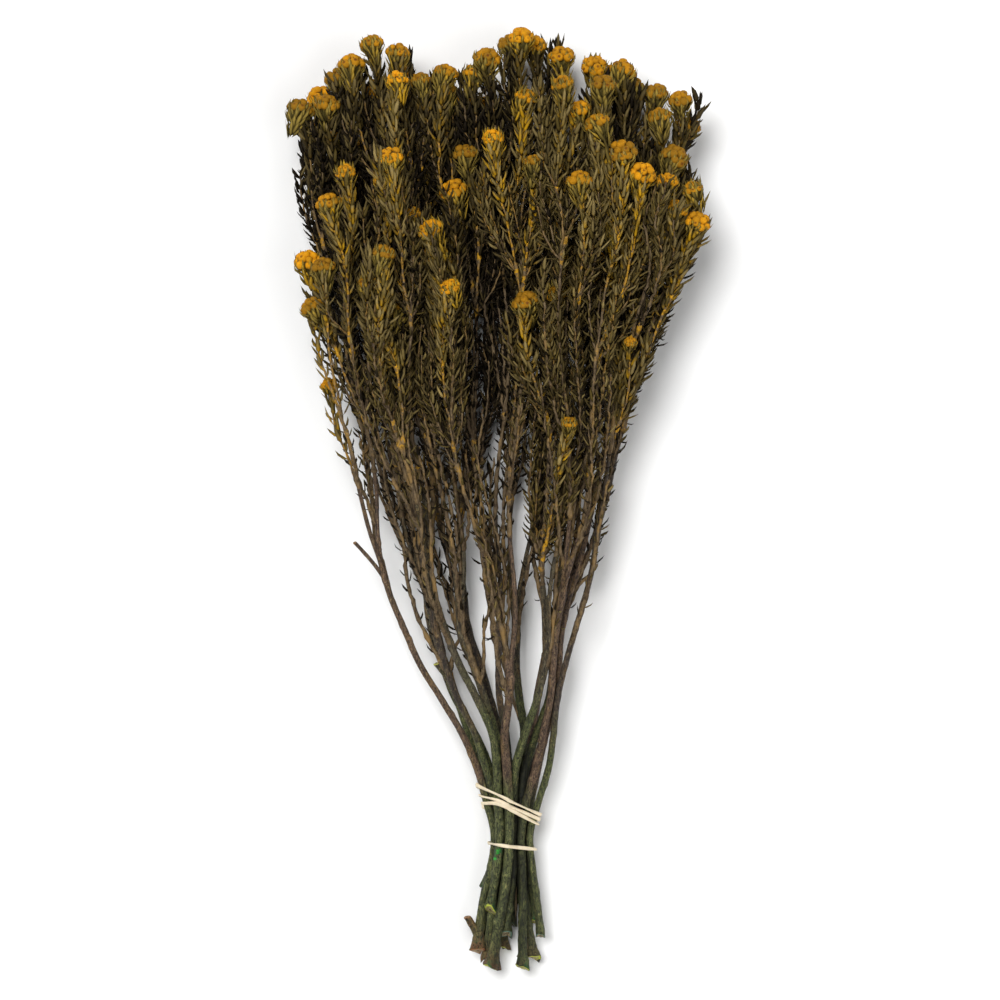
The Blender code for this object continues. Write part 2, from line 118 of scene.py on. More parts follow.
STEMS = tuple(StemPlan(*row) for row in (
    (2, 2.0, (-12.5, -240), -8, ((-18, -135), (-28, -119), (-44, -90)), (-60, -40), (4, 15),
     (((-97, 103), (-94, 124), (-92, 62)), ((-85, 174), (-87, 158), (-102, 128))),
     Bark.BROWN, Cut.RUST),
    (2, 2.4, (-7, -218), -4, ((-6, -117), (-11, -106), (-22, -80)), (-40, -36), (-2, 5),
     (((-63, 131), (-65, 102), (-63, 116)), ((-53, 222), (-59, 171), (-59, 181))),
     Bark.GREEN, Cut.LIME),
    (2, 2.6, (-5, -249), 2, ((4, -127),), (7, -97), (-30, -20),
     (((-37, 144), (-33, 131), (-29, 113)), ((12, 214), (16, 178), (-1, 192))),
     Bark.BROWN, Cut.LIME),
    (2, 2.4, (3, -231), 8, ((10, -135),), (21, -90), (-45, -30),
     (((32, 110), (13, 106), (37, 42)), ((46, 199), (41, 169), (35, 144))), Bark.GREEN, Cut.TEAL),
    (2, 2.15, (12, -249), 14, ((21, -125), (28, -101)), (36, -53), (-10, -5),
     (((35, 220), (43, 207), (52, 220)), ((65, 184), (62, 146), (74, 173))), Bark.BROWN, Cut.LIME),
    (2, 1.9, (23, -232), 22, ((32, -132), (35, -106), (40, -74)), (50, -19), (25, 35),
     (((89, 169), (79, 140), (73, 84)), ((104, 166), (96, 155), (108, 148))), Bark.DARK, Cut.TEAL),
    (1, 2.1, (-10.5, -235), -6,
     ((-12, -131), (-19, -122), (-27, -101), (-37, -80)), (-40, -55), (-15, -10),
     (((-98, 216), (-103, 208), (-95, 199)), ((-89, 225), (-91, 211), (-84, 195))),
     Bark.GREEN, Cut.LIME),
    (1, 2.0, (-8, -243), -2, ((-14, -132), (-25, -108)), (-33, -76), (-25, -20),
     (((-67, 243), (-78, 232), (-68, 219)), ((-50, 238), (-51, 230), (-43, 223))),
     Bark.DARK, Cut.RUST),
    (1, 2.25, (-2, -221), 4, ((-3, -120), (-8, -95)), (-19, -72), (-28, -20),
     (((-51, 151), (-41, 122), (-50, 103)), ((-30, 227), (-43, 189), (-28, 165))),
     Bark.GREEN, Cut.LIME),
    (1, 2.1, (6, -226), 7, ((6, -125), (-1, -98)), (-3, -68), (-18, -10),
     (((-20, 213), (-32, 218), (-16, 185)), ((3, 244), (-4, 235), (-14, 228))),
     Bark.DARK, Cut.TEAL),
    (1, 2.35, (17, -244), 12, ((17, -130), (24, -106)), (27, -80), (-35, -25),
     (((19, 243), (13, 246), (28, 237)), ((64, 229), (53, 231), (70, 221))), Bark.GREEN, Cut.LIME),
    (1, 2.1, (20, -225), 17, ((20, -132), (31, -104)), (37, -62), (-15, -5),
     (((93, 213), (81, 217), (101, 200)), ((88, 204), (80, 188), (96, 183))), Bark.BROWN, Cut.LIME),
    (0, 1.7, (-14.5, -207), -8, ((-8, -132), (-22, -108)), (-42, -60), (-20, -12),
     (((-85, 202), (-98, 172), (-92, 140)), ((-72, 190), (-80, 165), (-73, 139))),
     Bark.GREEN, Cut.TEAL),
    (0, 2.6, (0, -238), 3, ((2, -130), (-8, -104)), (-20, -70), (-25, -15),
     (((-52, 200), (-60, 160), (-55, 130)), ((-25, 205), (-35, 175), (-38, 148))),
     Bark.DARK, Cut.LIME),
    (0, 2.5, (9, -216), 9, ((11, -125), (8, -98)), (11, -70), (-30, -20),
     (((-8, 213), (0, 181), (-10, 150)), ((30, 205), (25, 175), (18, 140))), Bark.GREEN, Cut.LIME),
    (0, 2.6, (15, -234), 15, ((17, -130), (23, -104)), (31, -62), (-20, -10),
     (((60, 205), (55, 165), (50, 130)), ((85, 184), (80, 155), (72, 120))), Bark.BROWN, Cut.CREAM),
))


# The room the bunch takes: y, left, right, top
OUTLINE = (
    (-250, -27, 30, 30), (-214, -24, 27, 30), (-198, -17, 24, 31), (-186, -10, 23, 32),
    (-172, -10, 23, 32), (-148, -14, 29, 34), (-117, -33, 36, 40), (-80, -53, 42, 52),
    (-37, -63, 53, 66), (0, -84, 58, 76), (53, -99, 72, 88), (106, -107, 93, 95),
    (153, -109, 114, 96), (180, -109, 98, 95), (203, -112, 108, 93), (212, -113, 108, 92),
    (250, -85, 85, 80),
)


def room_at(y: Array) -> list[Array]:
    """Left, right and top of the room that the bunch takes at given heights."""
    heights, *sides = np.array(OUTLINE, float).T
    return [np.interp(y, heights, side) for side in sides]


# Profile of a flower head as its neighbours feel it: offset from its middle, radius
HEAD_PROFILE = ((-13.0, 4.3), (-5.0, 6.5), (1.0, 6.5), (5.2, 2.6))


@dataclass(frozen=True)
class GrowthRules:
    """Sizes that the layout of the bunch follows, in millimetres."""

    low_y: float = -250.0
    high_y: float = 250.0
    step_y: float = 18.0
    fine_per_step: int = 3
    shift: Point = (0.41, -1.1)  # centres the bunch on the origin
    tie_low: float = -190.0
    tie_high: float = -172.0
    tie_centre: Point = (7.0, 17.0)  # x and z
    tie_pull: Point = (0.10, 0.03)
    tie_grade: Points = ((-214.0, 0.0), (-196.0, 0.2), (-178.0, 1.0), (-160.0, 0.1), (-142.0, 0.0))
    gap: float = 0.3
    wood_spare: float = 0.15
    leaf_spare: float = 0.45
    fork_reach: float = 28.0
    fork_rise: float = 0.4  # share of the way up to its heads that a fork has climbed
    levelling: float = 1.5  # power by which a shoot levels out
    at_cut: float = 1.12
    at_fork: float = 0.88
    above_fork: float = 0.66
    prong_taper: float = 8.0
    shoot_radius: float = 1.7
    side_radius: float = 2.9
    side_length: float = 62.0
    side_step: float = 14.0
    side_lowest: float = 11.0
    club_radius: float = 4.1
    club_ramp: float = 34.0
    wander: float = 3.0
    wander_length: float = 150.0
    wander_ramp: float = 40.0
    wander_shift: float = 2.4  # from one shoot's wave to the next one's, in radians
    wander_ratio: float = 1.3  # of the waves in height to those across
    head_layers: Row = (13.0, 42.0, 70.0)
    head_spread: float = 7.0
    tie_layers: Row = (10.0, 17.0, 24.0)
    tie_drop: float = 7.5
    settle_rounds: int = 240
    settle_push: float = 0.16
    final_rounds: int = 90
    final_push: float = 0.2
    bend_relief: float = 0.2
    head_recall: Point = (0.35, 0.02)
    recall: Point = (0.03, 0.004)


RULES = GrowthRules()


@dataclass(frozen=True)
class Shoot:
    """One line of growth, from where it leaves its parent up to its flower head."""

    stem: int
    spray: int
    parent: int  # -1 for a stem
    start: float  # y where it leaves its parent
    leafy: float  # y where its spray starts
    head: Point
    side: bool  # leafy all the way, growing from its spray's main shoot


def list_shoots() -> list[Shoot]:
    """List every shoot, parents before children.

    Returns:
        The shoots, stem by stem and spray by spray.
    """
    shoots: list[Shoot] = []
    for number, stem in enumerate(STEMS):
        first = len(shoots)
        for spray, heads in enumerate(stem.heads):
            leafy = float(stem.leafy[spray])
            main = len(shoots)
            for rank, head in enumerate(heads):
                if rank > 0:
                    parent = main
                    below = head[1] - RULES.side_length - RULES.side_step * rank
                    start = max(below, leafy + RULES.side_lowest)
                elif spray > 0:
                    parent, start = first, float(stem.fork[1])
                else:
                    parent, start = -1, RULES.low_y
                shoots.append(Shoot(number, spray, parent, start, leafy, head, rank > 0))
    return shoots


def envelope_radius(shoot: Shoot, y: Array) -> Array:
    """Radius of a shoot's room: tapering wood, then leaves, then the flower head.

    Args:
        shoot: The shoot.
        y: Heights along the bunch, in millimetres.

    Returns:
        The radius at each height, in millimetres.
    """
    stem = STEMS[shoot.stem]
    if shoot.side:
        bare = np.full_like(y, RULES.side_radius)
    else:
        fork = stem.fork[1]
        knots = (RULES.low_y, RULES.tie_low, RULES.tie_high, fork,
                 fork + RULES.prong_taper, shoot.leafy)
        shares = (RULES.at_cut, 1.0, 1.0, RULES.at_fork, RULES.above_fork)
        sizes = [share * stem.radius for share in shares] + [RULES.shoot_radius]
        bare = np.interp(y, knots, sizes)
    ramp = np.clip((y - max(shoot.leafy, shoot.start)) / RULES.club_ramp, 0.0, 1.0)
    club = bare + (RULES.club_radius - bare) * ramp
    offsets, radii = np.array(HEAD_PROFILE).T
    head = np.interp(y - shoot.head[1], offsets, radii)
    return np.where(y > shoot.head[1] + offsets[0], head, club)


class Layout:
    """Places every shoot so that no two of them touch, as the frame's are placed.

    Each shoot is known on planes across the bunch. Rounds of small moves push apart
    shoots that are too close, spread each push along its shoot, draw the shoots back
    towards their first course and keep them off the table.
    """

    def __init__(self) -> None:
        """Draft every shoot's course and the room that it needs."""
        self.shoots = list_shoots()
        self.y = np.arange(RULES.low_y, RULES.high_y + RULES.step_y, RULES.step_y)
        self.fine = np.arange(RULES.low_y, self.y[-1], RULES.step_y / RULES.fine_per_step)
        self.blend = np.stack([np.interp(self.fine, self.y, row) for row in np.eye(len(self.y))])
        coarse = (len(self.shoots), len(self.y))
        self.x, self.z, self.size = (np.zeros(coarse) for _ in range(3))
        self.room = np.zeros((len(self.shoots), len(self.fine)))
        self.live = np.zeros(self.room.shape, bool)
        for index, shoot in enumerate(self.shoots):
            self._draft(index, shoot)
            self._reserve(index, shoot)
        self.aim_x = self.x.copy()
        self.aim_z = self.z.copy()
        self.share = self._pair_shares()

    def _draft(self, index: int, shoot: Shoot) -> None:
        """First course: through the stem's bends, then levelling out to the head.

        Args:
            index: The shoot's place in the list.
            shoot: The shoot.
        """
        stem = STEMS[shoot.stem]
        head_z = RULES.head_layers[stem.layer] + RULES.head_spread * math.sin(
            RULES.wander_shift * index)
        if shoot.parent < 0:
            tie_z = RULES.tie_layers[stem.layer]
            course = (stem.cut, (stem.tie, RULES.tie_low), (stem.tie, RULES.tie_high),
                      *stem.bends, stem.fork)
            across, along = np.array(course, float).T
            start = stem.fork[1]
            heights = (stem.cut[1], RULES.tie_low, RULES.tie_high, start)
            fork_z = (1.0 - RULES.fork_rise) * tie_z + RULES.fork_rise * head_z
            rise = (tie_z - RULES.tie_drop, tie_z, tie_z, fork_z)
            self.x[index] = np.interp(self.y, along, across)
            self.z[index] = np.interp(self.y, heights, rise)
        else:
            self.x[index] = self.x[shoot.parent]
            self.z[index] = self.z[shoot.parent]
            start = shoot.start
        part_way = np.clip((self.y - start) / (shoot.head[1] - start), 0.0, 1.0)
        way = 1.0 - (1.0 - part_way) ** RULES.levelling
        above = self.y > start
        ramp = (self.y - max(shoot.start, RULES.tie_high)) / RULES.wander_ramp
        phase = TURN * self.y / RULES.wander_length + RULES.wander_shift * index
        for grid, goal, wave in ((self.x, shoot.head[0], np.sin(phase)),
                                 (self.z, head_z, np.cos(RULES.wander_ratio * phase))):
            base = np.interp(start, self.y, grid[index])
            grid[index, above] = (base + (goal - base) * way)[above]
            grid[index] += RULES.wander * np.clip(ramp, 0.0, 1.0) * wave

    def _reserve(self, index: int, shoot: Shoot) -> None:
        """Note the radius that a shoot needs on each plane it crosses.

        Args:
            index: The shoot's place in the list.
            shoot: The shoot.
        """
        low = STEMS[shoot.stem].cut[1] if shoot.parent < 0 else shoot.start
        high = shoot.head[1] + HEAD_PROFILE[-1][0]
        live = (self.fine > low - 5.0) & (self.fine < high + 2.0)
        size = envelope_radius(shoot, self.fine)
        spare = np.where(self.fine < shoot.leafy, RULES.wood_spare, RULES.leaf_spare)
        self.live[index] = live
        self.room[index] = size + spare + RULES.gap / 2
        near = np.abs(self.y[:, None] - self.fine[None]) < 1.3 * RULES.step_y
        self.size[index] = np.where(near & live, size, 0.0).max(axis=1)

    def _pair_shares(self) -> Array:
        """Share of the full distance that each pair keeps: none at a fork, all above it.

        Returns:
            One number for each pair of shoots on each fine plane.
        """
        count = len(self.shoots)
        apart = np.full((count, count), RULES.low_y - 10 * RULES.fork_reach)
        for i, one in enumerate(self.shoots):
            for j, two in enumerate(self.shoots):
                if one.stem != two.stem or i == j:
                    continue
                if one.spray != two.spray:
                    apart[i, j] = STEMS[one.stem].fork[1]
                else:
                    starts = [s.start for s in (one, two) if s.parent in (i, j)]
                    apart[i, j] = starts[0] if starts else min(one.start, two.start)
        share = np.clip((self.fine - apart[:, :, None]) / RULES.fork_reach, 0.0, 1.0)
        others = ~np.eye(count, dtype=bool)[:, :, None]
        return share * (self.live[:, None] & self.live[None] & others)

    def _smooth(self) -> None:
        """Spread each push along its shoot, so that none is bent sharply."""
        for grid, aim in ((self.x, self.aim_x), (self.z, self.aim_z)):
            moved = grid - aim
            bend = moved[:, :-2] + moved[:, 2:] - 2 * moved[:, 1:-1]
            grid[:, 1:-1] += RULES.bend_relief * bend

    def _follow(self) -> None:
        """Keep the lower part of a side shoot on its parent."""
        for index, shoot in enumerate(self.shoots):
            if shoot.parent >= 0:
                below = self.y <= shoot.start
                self.x[index, below] = self.x[shoot.parent, below]
                self.z[index, below] = self.z[shoot.parent, below]

    def _recall(self) -> None:
        """Draw shoots back to their first course, and tightly together at the tie."""
        heads = np.array([shoot.head[1] for shoot in self.shoots])[:, None]
        near = self.y > heads - RULES.step_y
        grade = np.interp(self.y, *np.array(RULES.tie_grade).T)
        for k, (grid, aim) in enumerate(((self.x, self.aim_x), (self.z, self.aim_z))):
            grid += np.where(near, RULES.head_recall[k], RULES.recall[k]) * (aim - grid)
            grid += RULES.tie_pull[k] * grade * (RULES.tie_centre[k] - grid)

    def _part(self, strength: float) -> None:
        """Push shoots that are too close away from each other.

        Args:
            strength: Share of each overlap that is taken away.
        """
        x = self.x @ self.blend
        z = self.z @ self.blend
        dx = x[:, None] - x[None]
        dz = z[:, None] - z[None]
        distance = np.sqrt(dx * dx + dz * dz) + 1e-6
        need = (self.room[:, None] + self.room[None]) * self.share
        push = np.clip(need - distance, 0.0, None) * strength / distance
        self.x += (push * dx).sum(axis=1) @ self.blend.T
        self.z += (push * dz).sum(axis=1) @ self.blend.T

    def _contain(self) -> None:
        """Keep every shoot above the table and inside the bunch's outline."""
        left, right, top = room_at(self.y)
        self.x = np.clip(self.x, left + self.size, right - self.size)
        middle, half = (left + right) / 2, (right - left) / 2
        across = np.clip(np.abs(self.x - middle) / half, 0.0, 0.98)
        lid = top * (0.55 + 0.45 * np.sqrt(1.0 - across ** 2))
        self.z = np.clip(self.z, self.size, np.maximum(lid - self.size, self.size))

    def settle(self) -> None:
        """Relax the bunch, then clear the last overlaps."""
        for _ in range(RULES.settle_rounds):
            self._smooth()
            self._recall()
            self._follow()
            self._part(RULES.settle_push)
            self._contain()
        for _ in range(RULES.final_rounds):
            self._follow()
            self._part(RULES.final_push)
            self._contain()
        self._follow()

    def course(self, index: int, y: Array) -> Array:
        """Middle of a shoot: a cubic through its planes, sloped by their neighbours.

        Args:
            index: The shoot's place in the list.
            y: Heights along the bunch, in millimetres.

        Returns:
            Points in millimetres, centred as the frame is.
        """
        y = np.asarray(y, float)
        k = np.clip(np.searchsorted(self.y, y) - 1, 0, len(self.y) - 2)
        step = RULES.step_y
        t = (y - self.y[k]) / step
        columns = []
        for row in (self.x[index], self.z[index]):
            slope = np.gradient(row, step)
            low, high = row[k], row[k + 1]
            rise = high - low
            curve = t * t * (3 - 2 * t) * rise + low
            curve += step * t * (1 - t) * ((1 - t) * slope[k] - t * slope[k + 1])
            columns.append(curve)
        x, z = columns
        return np.stack([x + RULES.shift[0], y + RULES.shift[1], z], axis=-1)

    def mains(self, number: int) -> list[int]:
        """The two shoots that run through a stem's wood, by their places in the list."""
        return [index for index, shoot in enumerate(self.shoots)
                if shoot.stem == number and not shoot.side]

    def spray(self, number: int, letter: int) -> list[int]:
        """The shoots of one spray, by their places in the list."""
        return [index for index, shoot in enumerate(self.shoots)
                if (shoot.stem, shoot.spray) == (number, letter)]


# ---------- mesh tools


def unit(vectors: Array) -> Array:
    """Scale vectors along the last axis to length 1."""
    length = np.linalg.norm(vectors, axis=-1, keepdims=True)
    return vectors / np.maximum(length, 1e-9)


def frames_along(points: Array) -> tuple[Array, Array, Array]:
    """Axes that travel along a path: ahead, side and up, with side x up = ahead.

    Args:
        points: Path points, one row each.

    Returns:
        Three arrays of unit vectors, one row for each point.
    """
    ahead = unit(np.gradient(points, axis=0))
    side = unit(np.cross(ASIDE, ahead))
    return ahead, side, np.cross(ahead, side)


def circles(side: Array, up: Array, columns: int) -> tuple[Array, Array]:
    """Unit circles: cos(angle) x side + sin(angle) x up.

    Args:
        side: First direction of each circle's plane.
        up: Second direction of each.
        columns: Corners of each circle.

    Returns:
        The angle of each column, and the corners of each circle.
    """
    angles = TURN * np.arange(columns) / columns
    return angles, (np.cos(angles)[None, :, None] * side[:, None]
                    + np.sin(angles)[None, :, None] * up[:, None])


def steps_along(points: Array) -> Array:
    """Length of each step of a path."""
    return np.linalg.norm(np.diff(points, axis=0), axis=1)


def running(steps: Array | list[int]) -> Array:
    """Running total of steps, from 0."""
    return np.concatenate([[0.0], np.cumsum(steps)])


def sample(place: Array, s: Array, rows: Array) -> Array:
    """Read rows of three numbers, known at distances s, at other places."""
    return np.stack([np.interp(place, s, column) for column in rows.T], axis=-1)


def fade(values: Array, low: float, high: float) -> Array:
    """Rise smoothly from 0 at low to 1 at high, as 3t^2 - 2t^3."""
    t = np.clip((values - low) / (high - low), 0.0, 1.0)
    return t * t * (3.0 - 2.0 * t)


@dataclass
class Lofts:
    """Closed bodies of one make: a base pole, rings of corners, and a tip pole."""

    rings: Array  # body, ring, column and coordinate, in millimetres
    base: Array
    tip: Array
    # Named numbers for the materials, for each body, ring or corner of a ring
    notes: dict[str, Array] = field(default_factory=dict)

    def points(self) -> Array:
        """All corners: the rings in order, then the two poles.

        Returns:
            Body, corner and coordinate.
        """
        count, rows, columns, _ = self.rings.shape
        flat = self.rings.reshape(count, rows * columns, 3)
        return np.concatenate([flat, self.base[:, None], self.tip[:, None]], axis=1)

    def faces(self) -> tuple[Array, Array]:
        """Corner numbers of all quads and of the triangles round the poles.

        Returns:
            Quads and triangles, facing outwards when a body's columns run
            anticlockwise as seen from its tip.
        """
        count, rows, columns, _ = self.rings.shape
        base = rows * columns
        here = np.arange(base).reshape(rows, columns)
        after = np.roll(here, -1, axis=1)
        quads = np.stack([here[:-1], after[:-1], after[1:], here[1:]], axis=-1).reshape(-1, 4)
        low = np.stack([after[0], here[0], np.full(columns, base)], axis=-1)
        high = np.stack([here[-1], after[-1], np.full(columns, base + 1)], axis=-1)
        fans = np.concatenate([low, high])
        stride = (np.arange(count) * (base + 2))[:, None, None]
        return (quads + stride).reshape(-1, 4), (fans + stride).reshape(-1, 3)

    def note(self, name: str) -> Array:
        """Numbers for the materials; a pole takes its nearest ring's mean.

        Args:
            name: Name of the note, which is 0 where it isn't given.

        Returns:
            One number for each corner of all bodies.
        """
        count, rows, columns, _ = self.rings.shape
        given = self.notes.get(name, np.zeros(count))
        given = given.reshape(given.shape + (1,) * (3 - given.ndim))
        given = np.broadcast_to(given, (count, rows, columns))
        flat = given.reshape(count, rows * columns)
        ends = np.stack([given[:, 0].mean(axis=-1), given[:, -1].mean(axis=-1)], axis=-1)
        return np.concatenate([flat, ends], axis=1).ravel()


def add_object(name: str, data: Any) -> bpy.types.Object:
    """Add an object to the scene, at the origin.

    Args:
        name: Its name.
        data: Its mesh, lamp or camera.

    Returns:
        The object.
    """
    made = bpy.data.objects.new(name, data)
    bpy.context.scene.collection.objects.link(made)
    return made


@dataclass
class Part:
    """A set of bodies that wear one material."""

    lofts: Lofts
    material: Material


def write_piece(name: str, corners: Array, quads: Array, fans: Array,
                nodes: tuple[str, ...]) -> bpy.types.Mesh:
    """Write one smooth mesh that stands for CAD nodes.

    Args:
        name: Name of the piece.
        corners: Its corners in millimetres; none is left below the table.
        quads: Corner numbers of its quads.
        fans: Corner numbers of its triangles.
        nodes: CAD nodes that the piece stands for.

    Returns:
        The new mesh, for its materials and its numbers.
    """
    spots = corners * MM
    spots[:, 2] = np.maximum(spots[:, 2], 0.0)
    mesh = bpy.data.meshes.new(name)
    mesh.vertices.add(len(spots))
    mesh.vertices.foreach_set("co", spots.ravel())
    order = np.concatenate([quads.ravel(), fans.ravel()]).astype(np.int32)
    mesh.loops.add(len(order))
    mesh.loops.foreach_set("vertex_index", order)
    sizes = np.repeat((4, 3), (len(quads), len(fans)))
    mesh.polygons.add(len(sizes))
    mesh.polygons.foreach_set("loop_start", running(sizes)[:-1].astype(np.int32))
    mesh.polygons.foreach_set("use_smooth", np.ones(len(sizes), bool))
    mesh.update(calc_edges=True)
    mesh.validate()
    piece = add_object(name, mesh)
    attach(piece, "root")
    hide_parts(*nodes)
    LOG.info("%s: %d triangles", name, 2 * len(quads) + len(fans))
    return mesh


def make_piece(name: str, parts: list[Part], notes: tuple[str, ...],
               nodes: tuple[str, ...]) -> None:
    """Join closed bodies into one piece.

    Args:
        name: Name of the piece.
        parts: Bodies with their materials.
        notes: Names of the numbers that the materials read.
        nodes: CAD nodes that the piece stands for.
    """
    materials = list(dict.fromkeys(part.material for part in parts))
    bodies = [part.lofts.points().reshape(-1, 3) for part in parts]
    starts = running([len(body) for body in bodies]).astype(int)
    quads, fans = zip(*(part.lofts.faces() for part in parts))
    mesh = write_piece(name, np.concatenate(bodies),
                       np.concatenate([faces + start for faces, start in zip(quads, starts)]),
                       np.concatenate([faces + start for faces, start in zip(fans, starts)]),
                       nodes)
    slots = [np.full(len(faces), materials.index(part.material))
             for kind in (quads, fans) for faces, part in zip(kind, parts)]
    mesh.polygons.foreach_set("material_index", np.concatenate(slots).astype(np.int32))
    for note in notes:
        values = np.concatenate([part.lofts.note(note) for part in parts])
        layer = mesh.attributes.new(note, "FLOAT", "POINT")
        layer.data.foreach_set("value", values.astype(np.float32))
    for material in materials:
        mesh.materials.append(material)


def tube(points: Array, radii: Array, columns: int) -> Lofts:
    """One round body along a path: a circle of each radius, square to the path.

    Args:
        points: Path points in millimetres.
        radii: Radius at each point and column.
        columns: Corners of each ring.

    Returns:
        The body, with its poles on the path's ends.
    """
    _, side, up = frames_along(points)
    _, rim = circles(side, up, columns)
    rings = points[:, None] + radii[..., None] * rim
    return Lofts(rings[None], points[None, 0], points[None, -1])


def blades(spines: Array, across: Array, half_width: Array, half_thick: Array) -> Lofts:
    """Slender closed blades: each ring has a right edge, upper keel, left edge, lower keel.

    Args:
        spines: Points of each blade from base to tip: a pole, the rings' middles, a pole.
        across: Direction of each blade's width.
        half_width: Half the width of each blade at each ring.
        half_thick: Half the thickness likewise.

    Returns:
        The blades, one body each.
    """
    ahead = unit(spines[:, 2:] - spines[:, :-2])
    side = across[:, None] - (across[:, None] * ahead).sum(-1, keepdims=True) * ahead
    side = unit(side)
    up = np.cross(ahead, side)
    middle = spines[:, 1:-1]
    wide, thick = half_width[..., None], half_thick[..., None]
    rings = np.stack([middle + wide * side, middle + thick * up,
                      middle - wide * side, middle - thick * up], axis=2)
    edge = np.broadcast_to(np.array([1.0, 0.0, 1.0, 0.0]), rings.shape[:3])
    row = np.linspace(0.25, 0.75, rings.shape[1])
    along = np.broadcast_to(row, rings.shape[:2])
    return Lofts(rings, spines[:, 0], spines[:, -1], {"edge": edge, "along": along})


def turned(centres: Array, axes: Array, profile: Array, columns: int, scale: Array) -> Lofts:
    """Round bodies turned about their own axes.

    Args:
        centres: Middle of each body.
        axes: Unit axis of each body.
        profile: Radius and height of the base pole, the rings and the tip pole.
        columns: Corners of each ring.
        scale: Size of each body against the profile.

    Returns:
        The bodies.
    """
    helper = np.where(np.abs(axes[:, 2:]) < 0.9, (0.0, 0.0, 1.0), (1.0, 0.0, 0.0))
    side = unit(np.cross(helper, axes))
    _, rim = circles(side, np.cross(axes, side), columns)
    size = scale[:, None, None, None]
    inner = profile[1:-1]
    rings = (centres[:, None, None]
             + size * inner[None, :, 0, None, None] * rim[:, None]
             + size * inner[None, :, 1, None, None] * axes[:, None, None])
    base = centres + scale[:, None] * profile[0, 1] * axes
    tip = centres + scale[:, None] * profile[-1, 1] * axes
    return Lofts(rings, base, tip)


# ---------- finishes

Colour = Triple
Feed = Any  # a number, a colour, a vector or another node's output


@dataclass
class Sock:
    """One output of a shader node; arithmetic on it adds the Math nodes it needs."""

    graph: "Graph"
    link: bpy.types.NodeSocket

    def maths(self, operation: str, *others: Feed, clamp: bool = False) -> "Sock":
        """Add one Math node with this output as its first value."""
        settings = {"operation": operation, "use_clamp": clamp}
        return self.graph.node("ShaderNodeMath", settings, dict(enumerate((self, *others))))

    def __add__(self, other: Feed) -> "Sock":
        """Add."""
        return self.maths("ADD", other)

    __radd__ = __add__

    def __mul__(self, other: Feed) -> "Sock":
        """Multiply."""
        return self.maths("MULTIPLY", other)

    __rmul__ = __mul__

    def __sub__(self, other: Feed) -> "Sock":
        """Subtract."""
        return self.maths("SUBTRACT", other)

    def __rsub__(self, other: Feed) -> "Sock":
        """Take this value from another."""
        return (self * -1.0) + other

    def between(self, low: float, high: float) -> "Sock":
        """Rise from 0 at low to 1 at high, and stay there."""
        return self.maths("MULTIPLY_ADD", 1.0 / (high - low), -low / (high - low), clamp=True)


